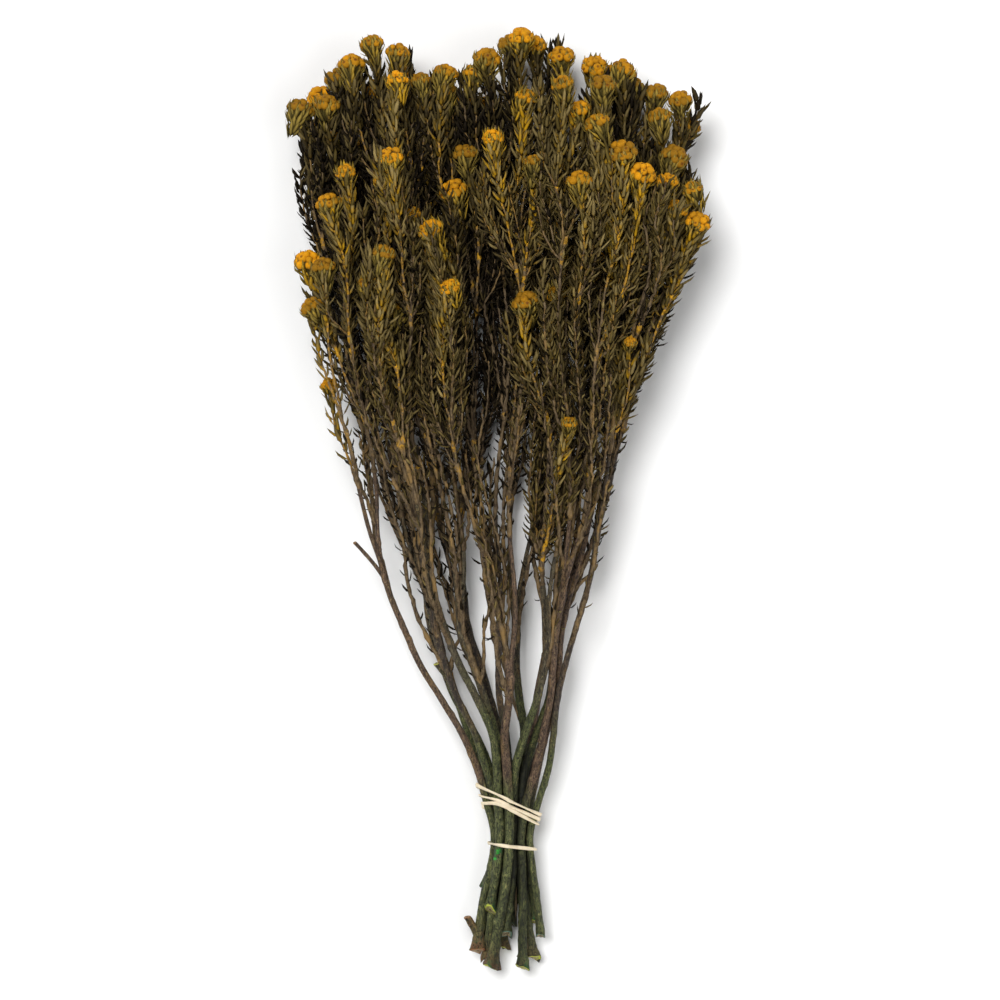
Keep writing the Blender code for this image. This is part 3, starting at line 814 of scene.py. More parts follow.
@dataclass
class Graph:
    """Node tree of one material, round a Principled shader."""

    name: str

    def __post_init__(self) -> None:
        """Start the material."""
        self.material = bpy.data.materials.new(self.name)
        self.material.use_nodes = True
        self.tree = self.material.node_tree
        self.shader = self.tree.nodes["Principled BSDF"]

    def feed(self, socket: bpy.types.NodeSocket, value: Feed) -> None:
        """Set a socket to a value, or link it to an output.

        Args:
            socket: The input.
            value: A number, a colour, a vector or an output.
        """
        if isinstance(value, Sock):
            self.tree.links.new(value.link, socket)
        elif isinstance(value, tuple) and socket.type == "RGBA":
            socket.default_value = (*value, 1.0)
        else:
            socket.default_value = value

    def node(self, kind: str, settings: dict[str, Any], inputs: dict[Any, Feed],
             output: str | int = 0) -> Sock:
        """Add a node.

        Args:
            kind: Type of the node.
            settings: Its own settings, which are set first.
            inputs: Values or outputs for its inputs, by name or place.
            output: The output that is wanted.

        Returns:
            That output.
        """
        made = self.tree.nodes.new(kind)
        for name, value in settings.items():
            setattr(made, name, value)
        for name, value in inputs.items():
            self.feed(made.inputs[name], value)
        return Sock(self, made.outputs[output])

    def note(self, name: str) -> Sock:
        """Read a number that the mesh carries."""
        return self.node("ShaderNodeAttribute", {"attribute_name": name}, {}, "Fac")

    def noise(self, size: float, along: float = 1.0, detail: float = 3.0,
              rough: float = 0.55, across: float = 1.0) -> Sock:
        """Cloudy noise about 0.5, on object coordinates.

        Args:
            size: Size of its patches in millimetres.
            along: Share of the frequency along the bunch.
            detail: Octaves.
            rough: Weight of each finer octave.
            across: Share of the frequency across the bunch.

        Returns:
            The noise.
        """
        here = self.node("ShaderNodeTexCoord", {}, {}, "Object")
        spot = self.node("ShaderNodeMapping", {}, {"Vector": here, "Scale": (across, along, 1.0)})
        inputs = {"Vector": spot, "Scale": 1.0 / (size * MM), "Detail": detail,
                  "Roughness": rough}
        return self.node("ShaderNodeTexNoise", {}, inputs, "Fac")

    def mix(self, share: Feed, one: Feed, two: Feed, how: str = "MIX") -> Sock:
        """Blend two colours.

        Args:
            share: How much of the second.
            one: First colour.
            two: Second colour.
            how: Blend type.

        Returns:
            The blended colour.
        """
        settings = {"data_type": "RGBA", "blend_type": how}
        return self.node("ShaderNodeMix", settings, {0: share, 6: one, 7: two}, 2)

    def bump(self, height: Feed, depth: float, strength: float = 1.0) -> Sock:
        """Turn a height into a bumped normal.

        Args:
            height: Height from 0 to 1.
            depth: What 1 stands for, in millimetres.
            strength: Share of the effect.

        Returns:
            The normal.
        """
        inputs = {"Height": height, "Distance": depth * MM, "Strength": strength}
        return self.node("ShaderNodeBump", {}, inputs)

    def finish(self, colour: Feed, roughness: Feed, normal: Sock | None = None,
               **constants: Any) -> Material:
        """Feed the shader.

        Args:
            colour: Base colour.
            roughness: Roughness.
            normal: Bumped normal.
            constants: Other inputs, with their spaces written as underlines.

        Returns:
            The finished material.
        """
        inputs = {"Base Color": colour, "Roughness": roughness, **constants}
        if normal is not None:
            inputs["Normal"] = normal
        for name, value in inputs.items():
            self.feed(self.shader.inputs[name.replace("_", " ")], value)
        return self.material


@dataclass(frozen=True)
class BarkFinish:
    """Dried bark: dyed dark green from the cut end up, then the wood's own brown, with painted
    light on its ridges and painted shade in its furrows.

    Short dark pits and pale flecks cover it, vivid dye sits in nicks, and a torn heel
    is rusty. Where stems crowd together the bark between them is painted nearly black, as shade.
    """

    ridge: Colour
    furrow: Colour
    dye_line: Point  # how high the green dye climbs, and over what it fades, in millimetres
    dyed_ridge: Colour = (0.150, 0.165, 0.056)
    dyed_furrow: Colour = (0.028, 0.036, 0.015)
    fleck: Colour = (0.330, 0.270, 0.110)
    honey: Colour = (0.205, 0.122, 0.042)
    nick: Colour = (0.026, 0.350, 0.034)
    stain: Colour = (0.014, 0.105, 0.032)
    rust: Colour = (0.170, 0.080, 0.034)
    pit: Colour = (0.010, 0.010, 0.007)
    inner: Colour = (0.15, 0.15, 0.14)  # share of its colour that bark keeps under the painted shade between crowded stems

    def build(self, name: str) -> Material:
        """Make the material.

        Args:
            name: Its name.

        Returns:
            The material.
        """
        graph = Graph(name)
        grain = graph.noise(0.8, 0.16, 4.0, 0.7)
        mottle = graph.noise(2.0, 0.5, 4.0, 0.75)
        speck = graph.noise(0.55, 0.5, 2.0)
        scurf = graph.noise(1.0, 0.5, 3.0, 0.6)
        cloud = graph.noise(14.0, 0.3, 2.0)
        streaks = (grain * 0.55 + mottle * 0.45).between(0.42, 0.61)
        warm = graph.noise(8.0, 0.4, 3.0, 0.65).between(0.54, 0.66) * 0.5
        natural = graph.mix(warm, graph.mix(streaks, self.furrow, self.ridge), self.honey)
        dyed = graph.mix(streaks, self.dyed_furrow, self.dyed_ridge)
        dye = graph.note("dyed") + (cloud - 0.5) * 1.1 + (mottle - 0.5) * 0.4
        colour = graph.mix(dye.between(0.3, 0.7), natural, dyed)
        colour = graph.mix(scurf.between(0.60, 0.70) * 0.55, colour, self.fleck)
        torn = graph.note("torn") * mottle.between(0.36, 0.50)
        colour = graph.mix(torn, colour, self.rust)
        colour = graph.mix(speck.between(0.535, 0.62) * 0.88, colour, self.pit)
        note = graph.note("raw")
        stained = note.between(0.0, 1.0) * graph.noise(3.0).between(0.48, 0.58)
        colour = graph.mix(stained, colour, self.stain)
        ragged = note - 1.0 + (speck - 0.5) * 2.4
        colour = graph.mix(ragged.between(0.15, 0.45), colour, self.nick)
        # painted light and shade: colour is lightened on the ridges and darkened in the furrows
        crest = graph.note("crest").between(-1.0, 1.0)
        painted_ridge_light = graph.mix(crest, (0.28, 0.28, 0.28), (1.40, 1.37, 1.33))
        colour = graph.mix(0.85, colour, painted_ridge_light, "MULTIPLY")
        # painted shade: bark where stems crowd together is darkened towards black
        crowd_shade = graph.mix(graph.note("crowd_shade"), (1.0, 1.0, 1.0), self.inner)
        colour = graph.mix(1.0, colour, crowd_shade, "MULTIPLY")
        relief = graph.bump(grain + mottle * 0.8 - speck.between(0.55, 0.68) * 0.7, 0.45)
        return graph.finish(colour, grain * 0.3 + 0.5, relief, Specular_IOR_Level=0.3)


@dataclass(frozen=True)
class CutWoodFinish:
    """Cut wood: a dyed rim under the bark, pale wood with torn fibres, and a dark pith."""

    rim: Colour
    pale: Colour = (0.46, 0.37, 0.21)
    deep: Colour = (0.20, 0.145, 0.075)
    pith: Colour = (0.070, 0.045, 0.025)

    def build(self, name: str) -> Material:
        """Make the material.

        Args:
            name: Its name.

        Returns:
            The material.
        """
        graph = Graph(name)
        out = graph.note("crest")
        fibre = graph.noise(0.7, 0.6, 4.0, 0.7)
        stain = graph.noise(1.8, detail=2.0)
        colour = graph.mix(fibre.between(0.38, 0.62), self.deep, self.pale)
        colour = graph.mix(stain.between(0.45, 0.65) * 0.5, colour, self.rim)
        dyed = (out + (fibre - 0.5) * 0.35).between(0.66, 0.86)
        colour = graph.mix(dyed, colour, self.rim)
        colour = graph.mix((1.0 - out).between(0.70, 0.84) * 0.8, colour, self.pith)
        colour = graph.mix(out.between(0.94, 1.0) * 0.6, colour, self.deep)
        relief = graph.bump(fibre, 0.5)
        return graph.finish(colour, 0.75, relief, Specular_IOR_Level=0.25)


@dataclass(frozen=True)
class TwigFinish:
    """Young twig: brown with honey patches, golden-orange near its head, with leaf scars."""

    furrow: Colour = (0.050, 0.032, 0.018)
    ridge: Colour = (0.195, 0.138, 0.073)
    honey: Colour = (0.265, 0.155, 0.044)
    young: Colour = (0.550, 0.285, 0.014)
    scar: Colour = (0.022, 0.014, 0.008)

    def build(self, name: str) -> Material:
        """Make the material.

        Args:
            name: Its name.

        Returns:
            The material.
        """
        graph = Graph(name)
        grain = graph.noise(0.8, 0.3, 3.0, 0.65)
        patch = graph.noise(3.0, detail=2.0)
        cloud = graph.noise(9.0, 0.5, 3.0, 0.6)
        bark = (grain * 0.6 + cloud * 0.4).between(0.40, 0.60)
        colour = graph.mix(bark, self.furrow, self.ridge)
        colour = graph.mix(cloud.between(0.54, 0.64) * 0.6, colour, self.honey)
        gold = graph.note("gold") * patch.between(0.40, 0.58) * 1.25 + (grain - 0.5) * 0.3
        colour = graph.mix(gold.between(0.18, 0.95), colour, self.young)
        colour = graph.mix(patch.between(0.56, 0.66) * 0.6, colour, self.scar)
        return graph.finish(colour, 0.65, graph.bump(grain, 0.3), Specular_IOR_Level=0.15)


@dataclass(frozen=True)
class LeafFinish:
    """Dried needle leaf: grey-olive face between dark rolled edges.

    Leaves are gilded near the flower heads, and near black where old and, as painted shade, deep in
    the bunch.
    """

    edge: Colour = (0.022, 0.018, 0.007)
    olive: Colour = (0.122, 0.085, 0.018)
    grey: Colour = (0.310, 0.228, 0.084)
    gold: Colour = (0.600, 0.330, 0.010)
    dead_and_shaded: Colour = (0.010, 0.007, 0.004)

    def build(self, name: str) -> Material:
        """Make the material.

        Args:
            name: Its name.

        Returns:
            The material.
        """
        graph = Graph(name)
        tone, gold, age = (graph.note(name) for name in ("tone", "gold", "age"))
        along, edge = graph.note("along"), graph.note("edge")
        down = graph.noise(1.5, 0.6)
        streak = graph.noise(0.5, 0.25, 2.0)
        face = graph.mix((tone + (down - 0.5) * 1.2).between(0.1, 0.9), self.olive, self.grey)
        gilt = gold + (down - 0.5) * 0.8 + (0.62 - along) * 1.0
        face = graph.mix(gilt.between(0.50, 1.15), face, self.gold)
        rim = (edge + (streak - 0.5) * 0.5).between(0.55, 1.05)
        colour = graph.mix(rim * 0.9, face, self.edge)
        # darkened towards black where old, and by painted shade deep in the bunch
        colour = graph.mix((age + (down - 0.5) * 0.3).between(0.05, 1.0), colour, self.dead_and_shaded)
        relief = graph.bump(streak, 0.15, 0.7)
        return graph.finish(colour, 0.7, relief, Specular_IOR_Level=0.07)


@dataclass(frozen=True)
class BractFinish:
    """Bract round a flower head: olive at its foot and edges, gilded along its middle."""

    foot: Colour = (0.080, 0.062, 0.016)
    face: Colour = (0.320, 0.225, 0.044)
    gilt: Colour = (0.640, 0.360, 0.012)
    edge: Colour = (0.040, 0.030, 0.010)

    def build(self, name: str) -> Material:
        """Make the material.

        Args:
            name: Its name.

        Returns:
            The material.
        """
        graph = Graph(name)
        tone, gold, along = (graph.note(name) for name in ("tone", "gold", "along"))
        edge = graph.note("edge")
        fluff = graph.noise(0.9, 0.7)
        colour = graph.mix((along * 0.7 + tone * 0.5).between(0.2, 1.0), self.foot, self.face)
        gilt = gold * 0.8 + (fluff - 0.5) * 0.7 + (tone - 0.5) * 0.4
        colour = graph.mix(gilt.between(0.28, 0.95), colour, self.gilt)
        colour = graph.mix(edge.between(0.3, 1.0) * 0.75, colour, self.edge)
        return graph.finish(colour, 0.7, graph.bump(fluff, 0.2), Specular_IOR_Level=0.07)


@dataclass(frozen=True)
class FloretFinish:
    """Button floret: orange-yellow felt, ochre where faded, with a dark point on top and painted
    shade round its foot, between the florets.
    """

    bright: Colour = (0.820, 0.350, 0.006)
    ochre: Colour = (0.270, 0.130, 0.007)
    point: Colour = (0.120, 0.035, 0.006)
    skirt_shade: Colour = (0.100, 0.036, 0.006)

    def build(self, name: str) -> Material:
        """Make the material.

        Args:
            name: Its name.

        Returns:
            The material.
        """
        graph = Graph(name)
        tone, gold, crown = (graph.note(name) for name in ("tone", "gold", "crown"))
        felt = graph.noise(0.6, rough=0.6)
        worn = graph.noise(4.0, detail=2.0)
        fresh = gold + (tone - 0.5) * 0.35 + (worn - 0.5) * 0.7
        colour = graph.mix(fresh.between(0.2, 1.1), self.ochre, self.bright)
        # painted shade: the lower part of each floret is darkened, as in the crevices between
        # florets
        colour = graph.mix((1.0 - crown).between(0.42, 0.95), colour, self.skirt_shade)
        dark = graph.note("dimple") * (felt * 0.4 + 0.7)
        colour = graph.mix(dark.between(0.35, 0.9), colour, self.point)
        colour = graph.mix(felt.between(0.54, 0.70) * 0.3, colour, self.ochre)
        return graph.finish(colour, 0.75, graph.bump(felt, 0.22), Specular_IOR_Level=0.12)


@dataclass(frozen=True)
class RubberFinish:
    """Cream rubber, a little dusty, with fine marks along the strand."""

    fresh: Colour = (0.80, 0.69, 0.50)
    dusty: Colour = (0.58, 0.47, 0.31)

    def build(self, name: str) -> Material:
        """Make the material.

        Args:
            name: Its name.

        Returns:
            The material.
        """
        graph = Graph(name)
        cloud = graph.noise(6.0)
        mark = graph.noise(0.8, detail=2.0, across=0.4)
        colour = graph.mix(cloud.between(0.4, 0.75) * 0.6, self.fresh, self.dusty)
        colour = graph.mix(mark.between(0.6, 0.8) * 0.35, colour, self.dusty)
        return graph.finish(colour, cloud * 0.3 + 0.38, graph.bump(mark, 0.12),
                            Specular_IOR_Level=0.45, Subsurface_Weight=0.1,
                            Subsurface_Radius=(0.002, 0.0014, 0.0008))


@dataclass(frozen=True)
class PaperFinish:
    """Matt pale paper of the studio floor."""

    sheet: Colour = (0.93, 0.93, 0.925)

    def build(self, name: str) -> Material:
        """Make the material.

        Args:
            name: Its name.

        Returns:
            The material.
        """
        graph = Graph(name)
        tooth = graph.noise(3.0)
        shade = tuple(0.992 * tone for tone in self.sheet)
        return graph.finish(graph.mix(tooth, shade, self.sheet), 0.9, Specular_IOR_Level=0.1)


BARKS: dict[Bark, BarkFinish] = {
    Bark.GREEN: BarkFinish((0.135, 0.110, 0.062), (0.034, 0.026, 0.016), (-104.0, 40.0)),
    Bark.BROWN: BarkFinish((0.200, 0.128, 0.078), (0.052, 0.032, 0.022), (-152.0, 26.0)),
    Bark.DARK: BarkFinish((0.105, 0.074, 0.050), (0.024, 0.017, 0.012), (-125.0, 35.0)),
}


# ---------- the bunch


@dataclass(frozen=True)
class Stub:
    """A short side piece of wood: where it leaves its stem, and how far it reaches."""

    stem: int
    y: float
    reach: Triple
    radius: float
    torn: float = 0.0  # how rusty its torn face is


STUBS: tuple[Stub, ...] = (
    Stub(0, -42.0, (-16.0, 19.5, 4.0), 1.1),
    Stub(6, -96.0, (-7.0, 9.0, 3.0), 1.6),
    Stub(0, -233.0, (-6.0, 11.0, 1.0), 2.1, 0.9),
    Stub(10, -120.0, (4.0, 10.0, 6.5), 1.0),
)


@dataclass(frozen=True)
class Heel:
    """A torn heel at a cut end: how much wider, how far up, and how rusty it is."""

    spread: float = 0.0
    length: float = 1.0
    rust: float = 0.0


@dataclass(frozen=True)
class CutEnd:
    """How the lower end of a piece of wood was cut."""

    slant: float = 0.0  # tangent of the cut's slant
    lean: float = 0.0  # direction of the slant round the stem
    flare: float = 0.0  # growth of the radius at the cut
    raw: float = 0.0  # how much vivid dye sits in the nicks by the cut
    heel: Heel = Heel()


HEELS: dict[int, Heel] = {
    0: Heel(0.30, 9.0, 1.0), 1: Heel(0.22, 5.0, 0.0), 2: Heel(0.45, 7.0, 1.0),
    3: Heel(0.30, 6.0, 0.0), 4: Heel(0.25, 4.0, 0.3), 7: Heel(0.35, 6.0, 0.8),
    10: Heel(0.75, 10.0, 0.35), 13: Heel(0.3, 6.0, 0.6),
}

# Notes that the bark reads; the last is painted shade where stems crowd together
NOTES = ("crest", "dyed", "raw", "torn", "crowd_shade")

# Nicks that show vivid dye: stem, height, angle round it, size in millimetres
NICKS = ((1, -186.4, 1.15, 1.5), (1, -190.5, 0.35, 1.1), (1, -190.0, 2.5, 0.8),
         (8, -219.5, 1.2, 1.0), (12, -205.5, 1.6, 0.8))

# Pale splinters torn from a stem: stem, upper and lower height, angle round it
SPLINTERS = ((9, -203.0, -225.0, 0.75), (3, -224.0, -232.5, 1.2), (10, -231.0, -243.0, 2.2))


@dataclass
class StemWood:
    """The bare wood of one stem: bark up both prongs, stubs, and the cut ends.

    Sizes are in millimetres, and heights and depths of the bark are shares of its radius.
    """

    number: int
    layout: Layout
    columns: int = 14
    ring_gap: float = 1.6
    ridge_height: float = 0.075
    ridges: tuple[Triple, ...] = ((5, 55.0, 0.40), (8, 31.0, 0.34), (3, 90.0, 0.45))
    gnarl: float = 1.2  # how much rougher the bark is by the cut
    gnarl_reach: Point = (40.0, 35.0)  # of the ridges and of the knots
    knot_height: float = 0.22
    knot_gap: float = 11.0
    knot_length: float = 1.7
    flare: float = 0.16
    flare_length: float = 4.0
    raw_length: float = 3.0
    tie_middle: Triple = (7.0, 0.0, 17.0)
    tie_reach: Triple = (12.5, 1.0, 9.8)  # half the bundle's size there
    tie_rim: Point = (0.62, 1.08)  # shares of it over which the painted shade between stems fades outwards
    parting: Point = (-140.0, -95.0)  # heights over which the stems part above the bands
    gathering: Point = (-222.0, -195.0)  # heights over which they close up below the bands
    slimming: float = 0.10  # of the wood above the bands
    slimming_range: Point = (-150.0, -95.0)
    taper: float = 0.28  # more of it, from the fork up to the spray
    slant_fade: float = 7.0
    splinter_fade: float = 2.2
    splinter_width: float = 1.15  # from the middle to an edge
    splinter_lift: Row = (0.4, 0.6, 0.5, 0.35, 0.2, -0.1)
    splinter_widths: Row = (0.55, 1.0, 0.8, 0.45)
    lobes: Points = ((2.0, 0.4), (3.0, 0.5))  # of a heel: waves round it, share
    cut_rings: Points = (  # from inside the bark to the pith: share, lift
        (0.35, 1.3), (0.96, 0.5), (1.0, -0.02), (0.72, -0.16), (0.42, -0.10), (0.16, -0.14))
    fork_bite: float = 6.0
    fork_swell: float = 0.22
    overlap: float = 2.0  # of the wood with its spray
    rng: Random = field(init=False)

    def __post_init__(self) -> None:
        """Seed this stem's own draws."""
        self.rng = np.random.default_rng(700 + self.number)

    @property
    def plan(self) -> StemPlan:
        """This stem's row of the plan."""
        return STEMS[self.number]

    def _relief(self, s: Array, angles: Array) -> Array:
        """Height of the bark over its mean, as a share of the radius.

        Ridges are waves round the stem whose phase drifts as they climb, so that they
        wind and merge. Knots are small bumps at leaf scars.

        Args:
            s: Distance along the wood of each ring, in millimetres.
            angles: Angle of each column.

        Returns:
            One number for each ring and column.
        """
        height = np.zeros((len(s), len(angles)))
        for waves, length, share in self.ridges:
            phase = self.rng.uniform(0, TURN, 3)
            drift = 1.3 * np.sin(TURN * s / length + phase[1])
            swell = 0.7 + 0.3 * np.sin(TURN * s / (0.37 * length) + phase[2])
            wave = np.sin(waves * angles[None] + phase[0] + drift[:, None])
            height += share * swell[:, None] * wave
        rougher = 1.0 + self.gnarl * np.exp(-s / self.gnarl_reach[0])
        height *= self.ridge_height * rougher[:, None]
        for _ in range(int(s[-1] / self.knot_gap)):
            middle = self.rng.uniform(3.0, s[-1])
            side = self.rng.uniform(0, TURN)
            size = self.knot_height * self.rng.uniform(0.3, 1.0)
            size *= 1.0 + self.gnarl * math.exp(-middle / self.gnarl_reach[1])
            near = np.exp(-((s - middle) / self.knot_length) ** 2)[:, None]
            height += size * near * np.exp(-2.6 * (1.0 - np.cos(angles - side)))
        return height + 0.3 * self.ridge_height * self.rng.normal(0.0, 1.0, height.shape)

    def _crowd_shade(self, rings: Array) -> Array:
        """How much painted shade the bark gets from crowding neighbours, from 0 in the open to 1.

        It falls from the middle of the bundle to its rim, and above, where stems part.

        Args:
            rings: Points of the bark, in layout millimetres.

        Returns:
            One number for each point.
        """
        away = (rings - np.array(self.tie_middle)) / np.array(self.tie_reach)
        rim = np.hypot(away[..., 0], away[..., 2])
        packed = 1.0 - 0.95 * fade(rings[..., 1], *self.parting)
        packed = packed * (0.45 + 0.55 * fade(rings[..., 1], *self.gathering))
        return packed * (1.0 - fade(rim, *self.tie_rim))

    def _nicks(self, y: Array, angles: Array) -> Array:
        """Vivid nicks of this stem, as round spots in height and angle.

        Args:
            y: Height of each ring.
            angles: Angle of each column.

        Returns:
            One number for each ring and column.
        """
        spots = np.zeros((len(y), len(angles)))
        for stem, level, side, size in NICKS:
            if stem == self.number:
                near = np.exp(-((y - level) / size) ** 2)[:, None]
                spots += 2.0 * near * np.exp(-3.0 * (1.0 - np.cos(angles - side)))
        return spots

    def _cut_face(self, point: Array, ahead: Array, rim: Array, wide: Array, tilt: Array) -> Lofts:
        """Cut wood that closes a lower end: rings that shrink to the pith.

        Args:
            point: End of the wood's course.
            ahead: Direction of the course there.
            rim: Unit circle square to it.
            wide: Radius of the bark at each column.
            tilt: How far along the stem each column is drawn, as a share of its radius.

        Returns:
            The body.
        """
        share, lift = np.array(self.cut_rings).T
        grit = self.rng.normal(0.0, 0.10, (len(share), self.columns))
        grit[:3] = 0.0
        spread = share[:, None] * wide[None] * 0.985
        rise = lift[:, None] + spread * tilt[None] + grit
        rings = point + spread[..., None] * rim[None] + rise[..., None] * ahead
        # The columns run round the stem's own axis, but this body's tip points down
        rings = rings[:, ::-1]
        base, tip = point + 1.5 * ahead, point - 0.05 * ahead
        return Lofts(rings[None], base[None], tip[None], {"crest": share[None]})

    def _rod(self, points: Array, radii: Array, end: CutEnd = CutEnd()) -> tuple[Lofts, Lofts]:
        """Bark round a course, and the cut wood that closes its lower end.

        Near the cut each ring is sheared along the stem by slant x cos(angle - lean),
        and the radius grows as an exponential flare and in the lobes of a torn heel.

        Args:
            points: Course from the cut end up.
            radii: Radius of the wood along it.
            end: How its lower end was cut.

        Returns:
            The bark and the cut wood.
        """
        s = running(steps_along(points))
        ahead, side, up = frames_along(points)
        angles, rim = circles(side, up, self.columns)
        relief = self._relief(s, angles)
        wide = radii[:, None] * (1.0 + relief)
        wide *= 1.0 + end.flare * np.exp(-s / self.flare_length)[:, None]
        lobes = np.ones(self.columns)
        for waves, share in self.lobes:
            lobes += share * np.cos(waves * angles + self.rng.uniform(0, 6.3))
        torn = np.exp(-(s / end.heel.length) ** 1.5)
        wide *= 1.0 + end.heel.spread * torn[:, None] * lobes
        tear = 0.6 * np.maximum(self.rng.normal(size=self.columns) - 1.0, 0.0)
        ragged = self.rng.normal(0.0, 0.08, self.columns) + tear
        shear = end.slant * np.cos(angles - end.lean)
        shift = wide * (shear * np.exp(-s / self.slant_fade)[:, None]
                        - ragged * np.exp(-s / self.splinter_fade)[:, None])
        rings = points[:, None] + wide[..., None] * rim + shift[..., None] * ahead[:, None]
        line, ramp = BARKS[self.plan.bark].dye_line
        notes = {
            "crest": np.clip(relief / (1.6 * self.ridge_height), -1.0, 1.0),
            "dyed": 1.0 - fade(points[:, 1], line - ramp, line + ramp),
            "raw": (end.raw * np.exp(-s / self.raw_length)[:, None]
                    + self._nicks(points[:, 1] - RULES.shift[1], angles)),
            "torn": end.heel.rust * torn,
            # painted shade between stems crowded in the bundle
            "crowd_shade": self._crowd_shade(rings - np.array([*RULES.shift, 0.0])),
        }
        base, tip = points[0] + 0.6 * ahead[0], points[-1] + 0.3 * ahead[-1]
        bark = Lofts(rings[None], base[None], tip[None],
                     {name: values[None] for name, values in notes.items()})
        tilt = shear - 0.8 * ragged
        return bark, self._cut_face(points[0], ahead[0], rim[0], wide[0], tilt)

    def _prong(self, index: int, low: float, high: float) -> tuple[Array, Array]:
        """Course and radii of the wood along one shoot.

        Args:
            index: The shoot's place in the layout.
            low: Where the wood starts.
            high: Where its spray starts.

        Returns:
            Points and radii.
        """
        high = high + self.overlap
        y = np.linspace(low, high, max(int((high - low) / self.ring_gap), 6))
        radii = envelope_radius(self.layout.shoots[index], y)
        fork = self.plan.fork[1]
        radii *= 1.0 - self.slimming * fade(y, *self.slimming_range)
        radii *= 1.0 - self.taper * fade(y, fork, high)
        radii *= 1.0 + self.fork_swell * np.exp(-((y - fork - 1.0) / 5.0) ** 2)
        return self.layout.course(index, y), radii

    def _stubs(self, index: int) -> list[tuple[Lofts, Lofts]]:
        """Side pieces, each bent a little and broken off at its outer end.

        Args:
            index: The place in the layout of the shoot that they leave.

        Returns:
            Bark and cut wood of each.
        """
        made = []
        for stub in STUBS:
            if stub.stem != self.number:
                continue
            root = self.layout.course(index, np.array([stub.y]))[0]
            tip = root + np.array(stub.reach)
            t = np.linspace(1.0, 0.0, 14)[:, None]
            bow = np.array([0.12, 0.0, 0.10]) * np.linalg.norm(stub.reach)
            points = root + t * (tip - root) + t * (1.0 - t) * bow
            radii = stub.radius * (1.0 - 0.2 * t[:, 0])
            end = CutEnd(0.5, 1.0, heel=Heel(0.1, 9.0, stub.torn))
            made.append(self._rod(points, radii, end))
        return made

    def _splinters(self, index: int) -> list[Lofts]:
        """Slender blades of pale wood that lie on the bark, widest at a third.

        Args:
            index: The place in the layout of the shoot that they lie on.

        Returns:
            One body for each.
        """
        made = []
        for stem, high, low, side in SPLINTERS:
            if stem == self.number:
                lift = self.plan.radius + np.array(self.splinter_lift)
                y = np.linspace(low, high, len(lift))
                out = np.array([math.cos(side), 0.0, math.sin(side)])
                spine = self.layout.course(index, y) + lift[:, None] * out
                across = np.cross((0.0, 1.0, 0.0), out)
                widths = self.splinter_width * np.array([self.splinter_widths])
                made.append(blades(spine[None], across[None], widths, 0.35 * widths))
        return made

    def build(self) -> None:
        """Make the stem's piece."""
        plan = self.plan
        first, second = self.layout.mains(self.number)
        end = CutEnd(self.rng.uniform(0.2, 0.9), self.rng.normal(0.5 * math.pi, 1.2),
                     self.flare * self.rng.uniform(0.2, 2.2),
                     float(self.rng.choice((0.0, 0.55, 1.0), p=(0.4, 0.3, 0.3))),
                     HEELS.get(self.number, Heel()))
        rods = [
            self._rod(*self._prong(first, plan.cut[1], plan.leafy[0]), end),
            self._rod(*self._prong(second, plan.fork[1] - self.fork_bite, plan.leafy[1])),
            *self._stubs(first),
        ]
        name = f"stem_{self.number + 1:02d}"
        bark = BARKS[plan.bark].build(f"{name}_bark")
        cut = CutWoodFinish(plan.end.value).build(f"{name}_cut_wood")
        parts = [Part(body, bark) for body, _ in rods]
        parts += [Part(end, cut) for _, end in rods]
        splinters = self._splinters(first)
        if splinters:
            pale = CutWoodFinish(Cut.STRAW.value).build(f"{name}_splinter")
            parts += [Part(blade, pale) for blade in splinters]
        make_piece(f"{name}_wood", parts, NOTES, (name,))


@dataclass
class Twig:
    """A leafy twig, known by points along it, in millimetres."""

    points: Array
    radii: Array
    fresh: Array  # 0 at old wood to 1 beside a flower head
    density: Array  # leaves for each millimetre
    swell: Array  # share by which a knob swells it

    def wood(self, vigour_and_shade: float, rng: Random, columns: int) -> Lofts:
        """Knobbly round body of the twig, golden where it is fresh.

        Args:
            vigour_and_shade: 1 for a bright spray, 0 for a dull one.
            rng: Source of the draws.
            columns: Corners of each ring.

        Returns:
            The body.
        """
        shape = (len(self.points), columns)
        knobs = 1.0 + 0.10 * rng.normal(size=shape)
        knobs += np.maximum(0.20 * rng.normal(size=(len(self.points), 1)), -0.12)
        knobs += self.swell[:, None] * rng.uniform(0.7, 1.3, shape)
        body = tube(self.points, self.radii[:, None] * knobs, columns)
        body.notes["gold"] = (vigour_and_shade * np.sqrt(self.fresh) + 0.7 * self.swell)[None]
        return body


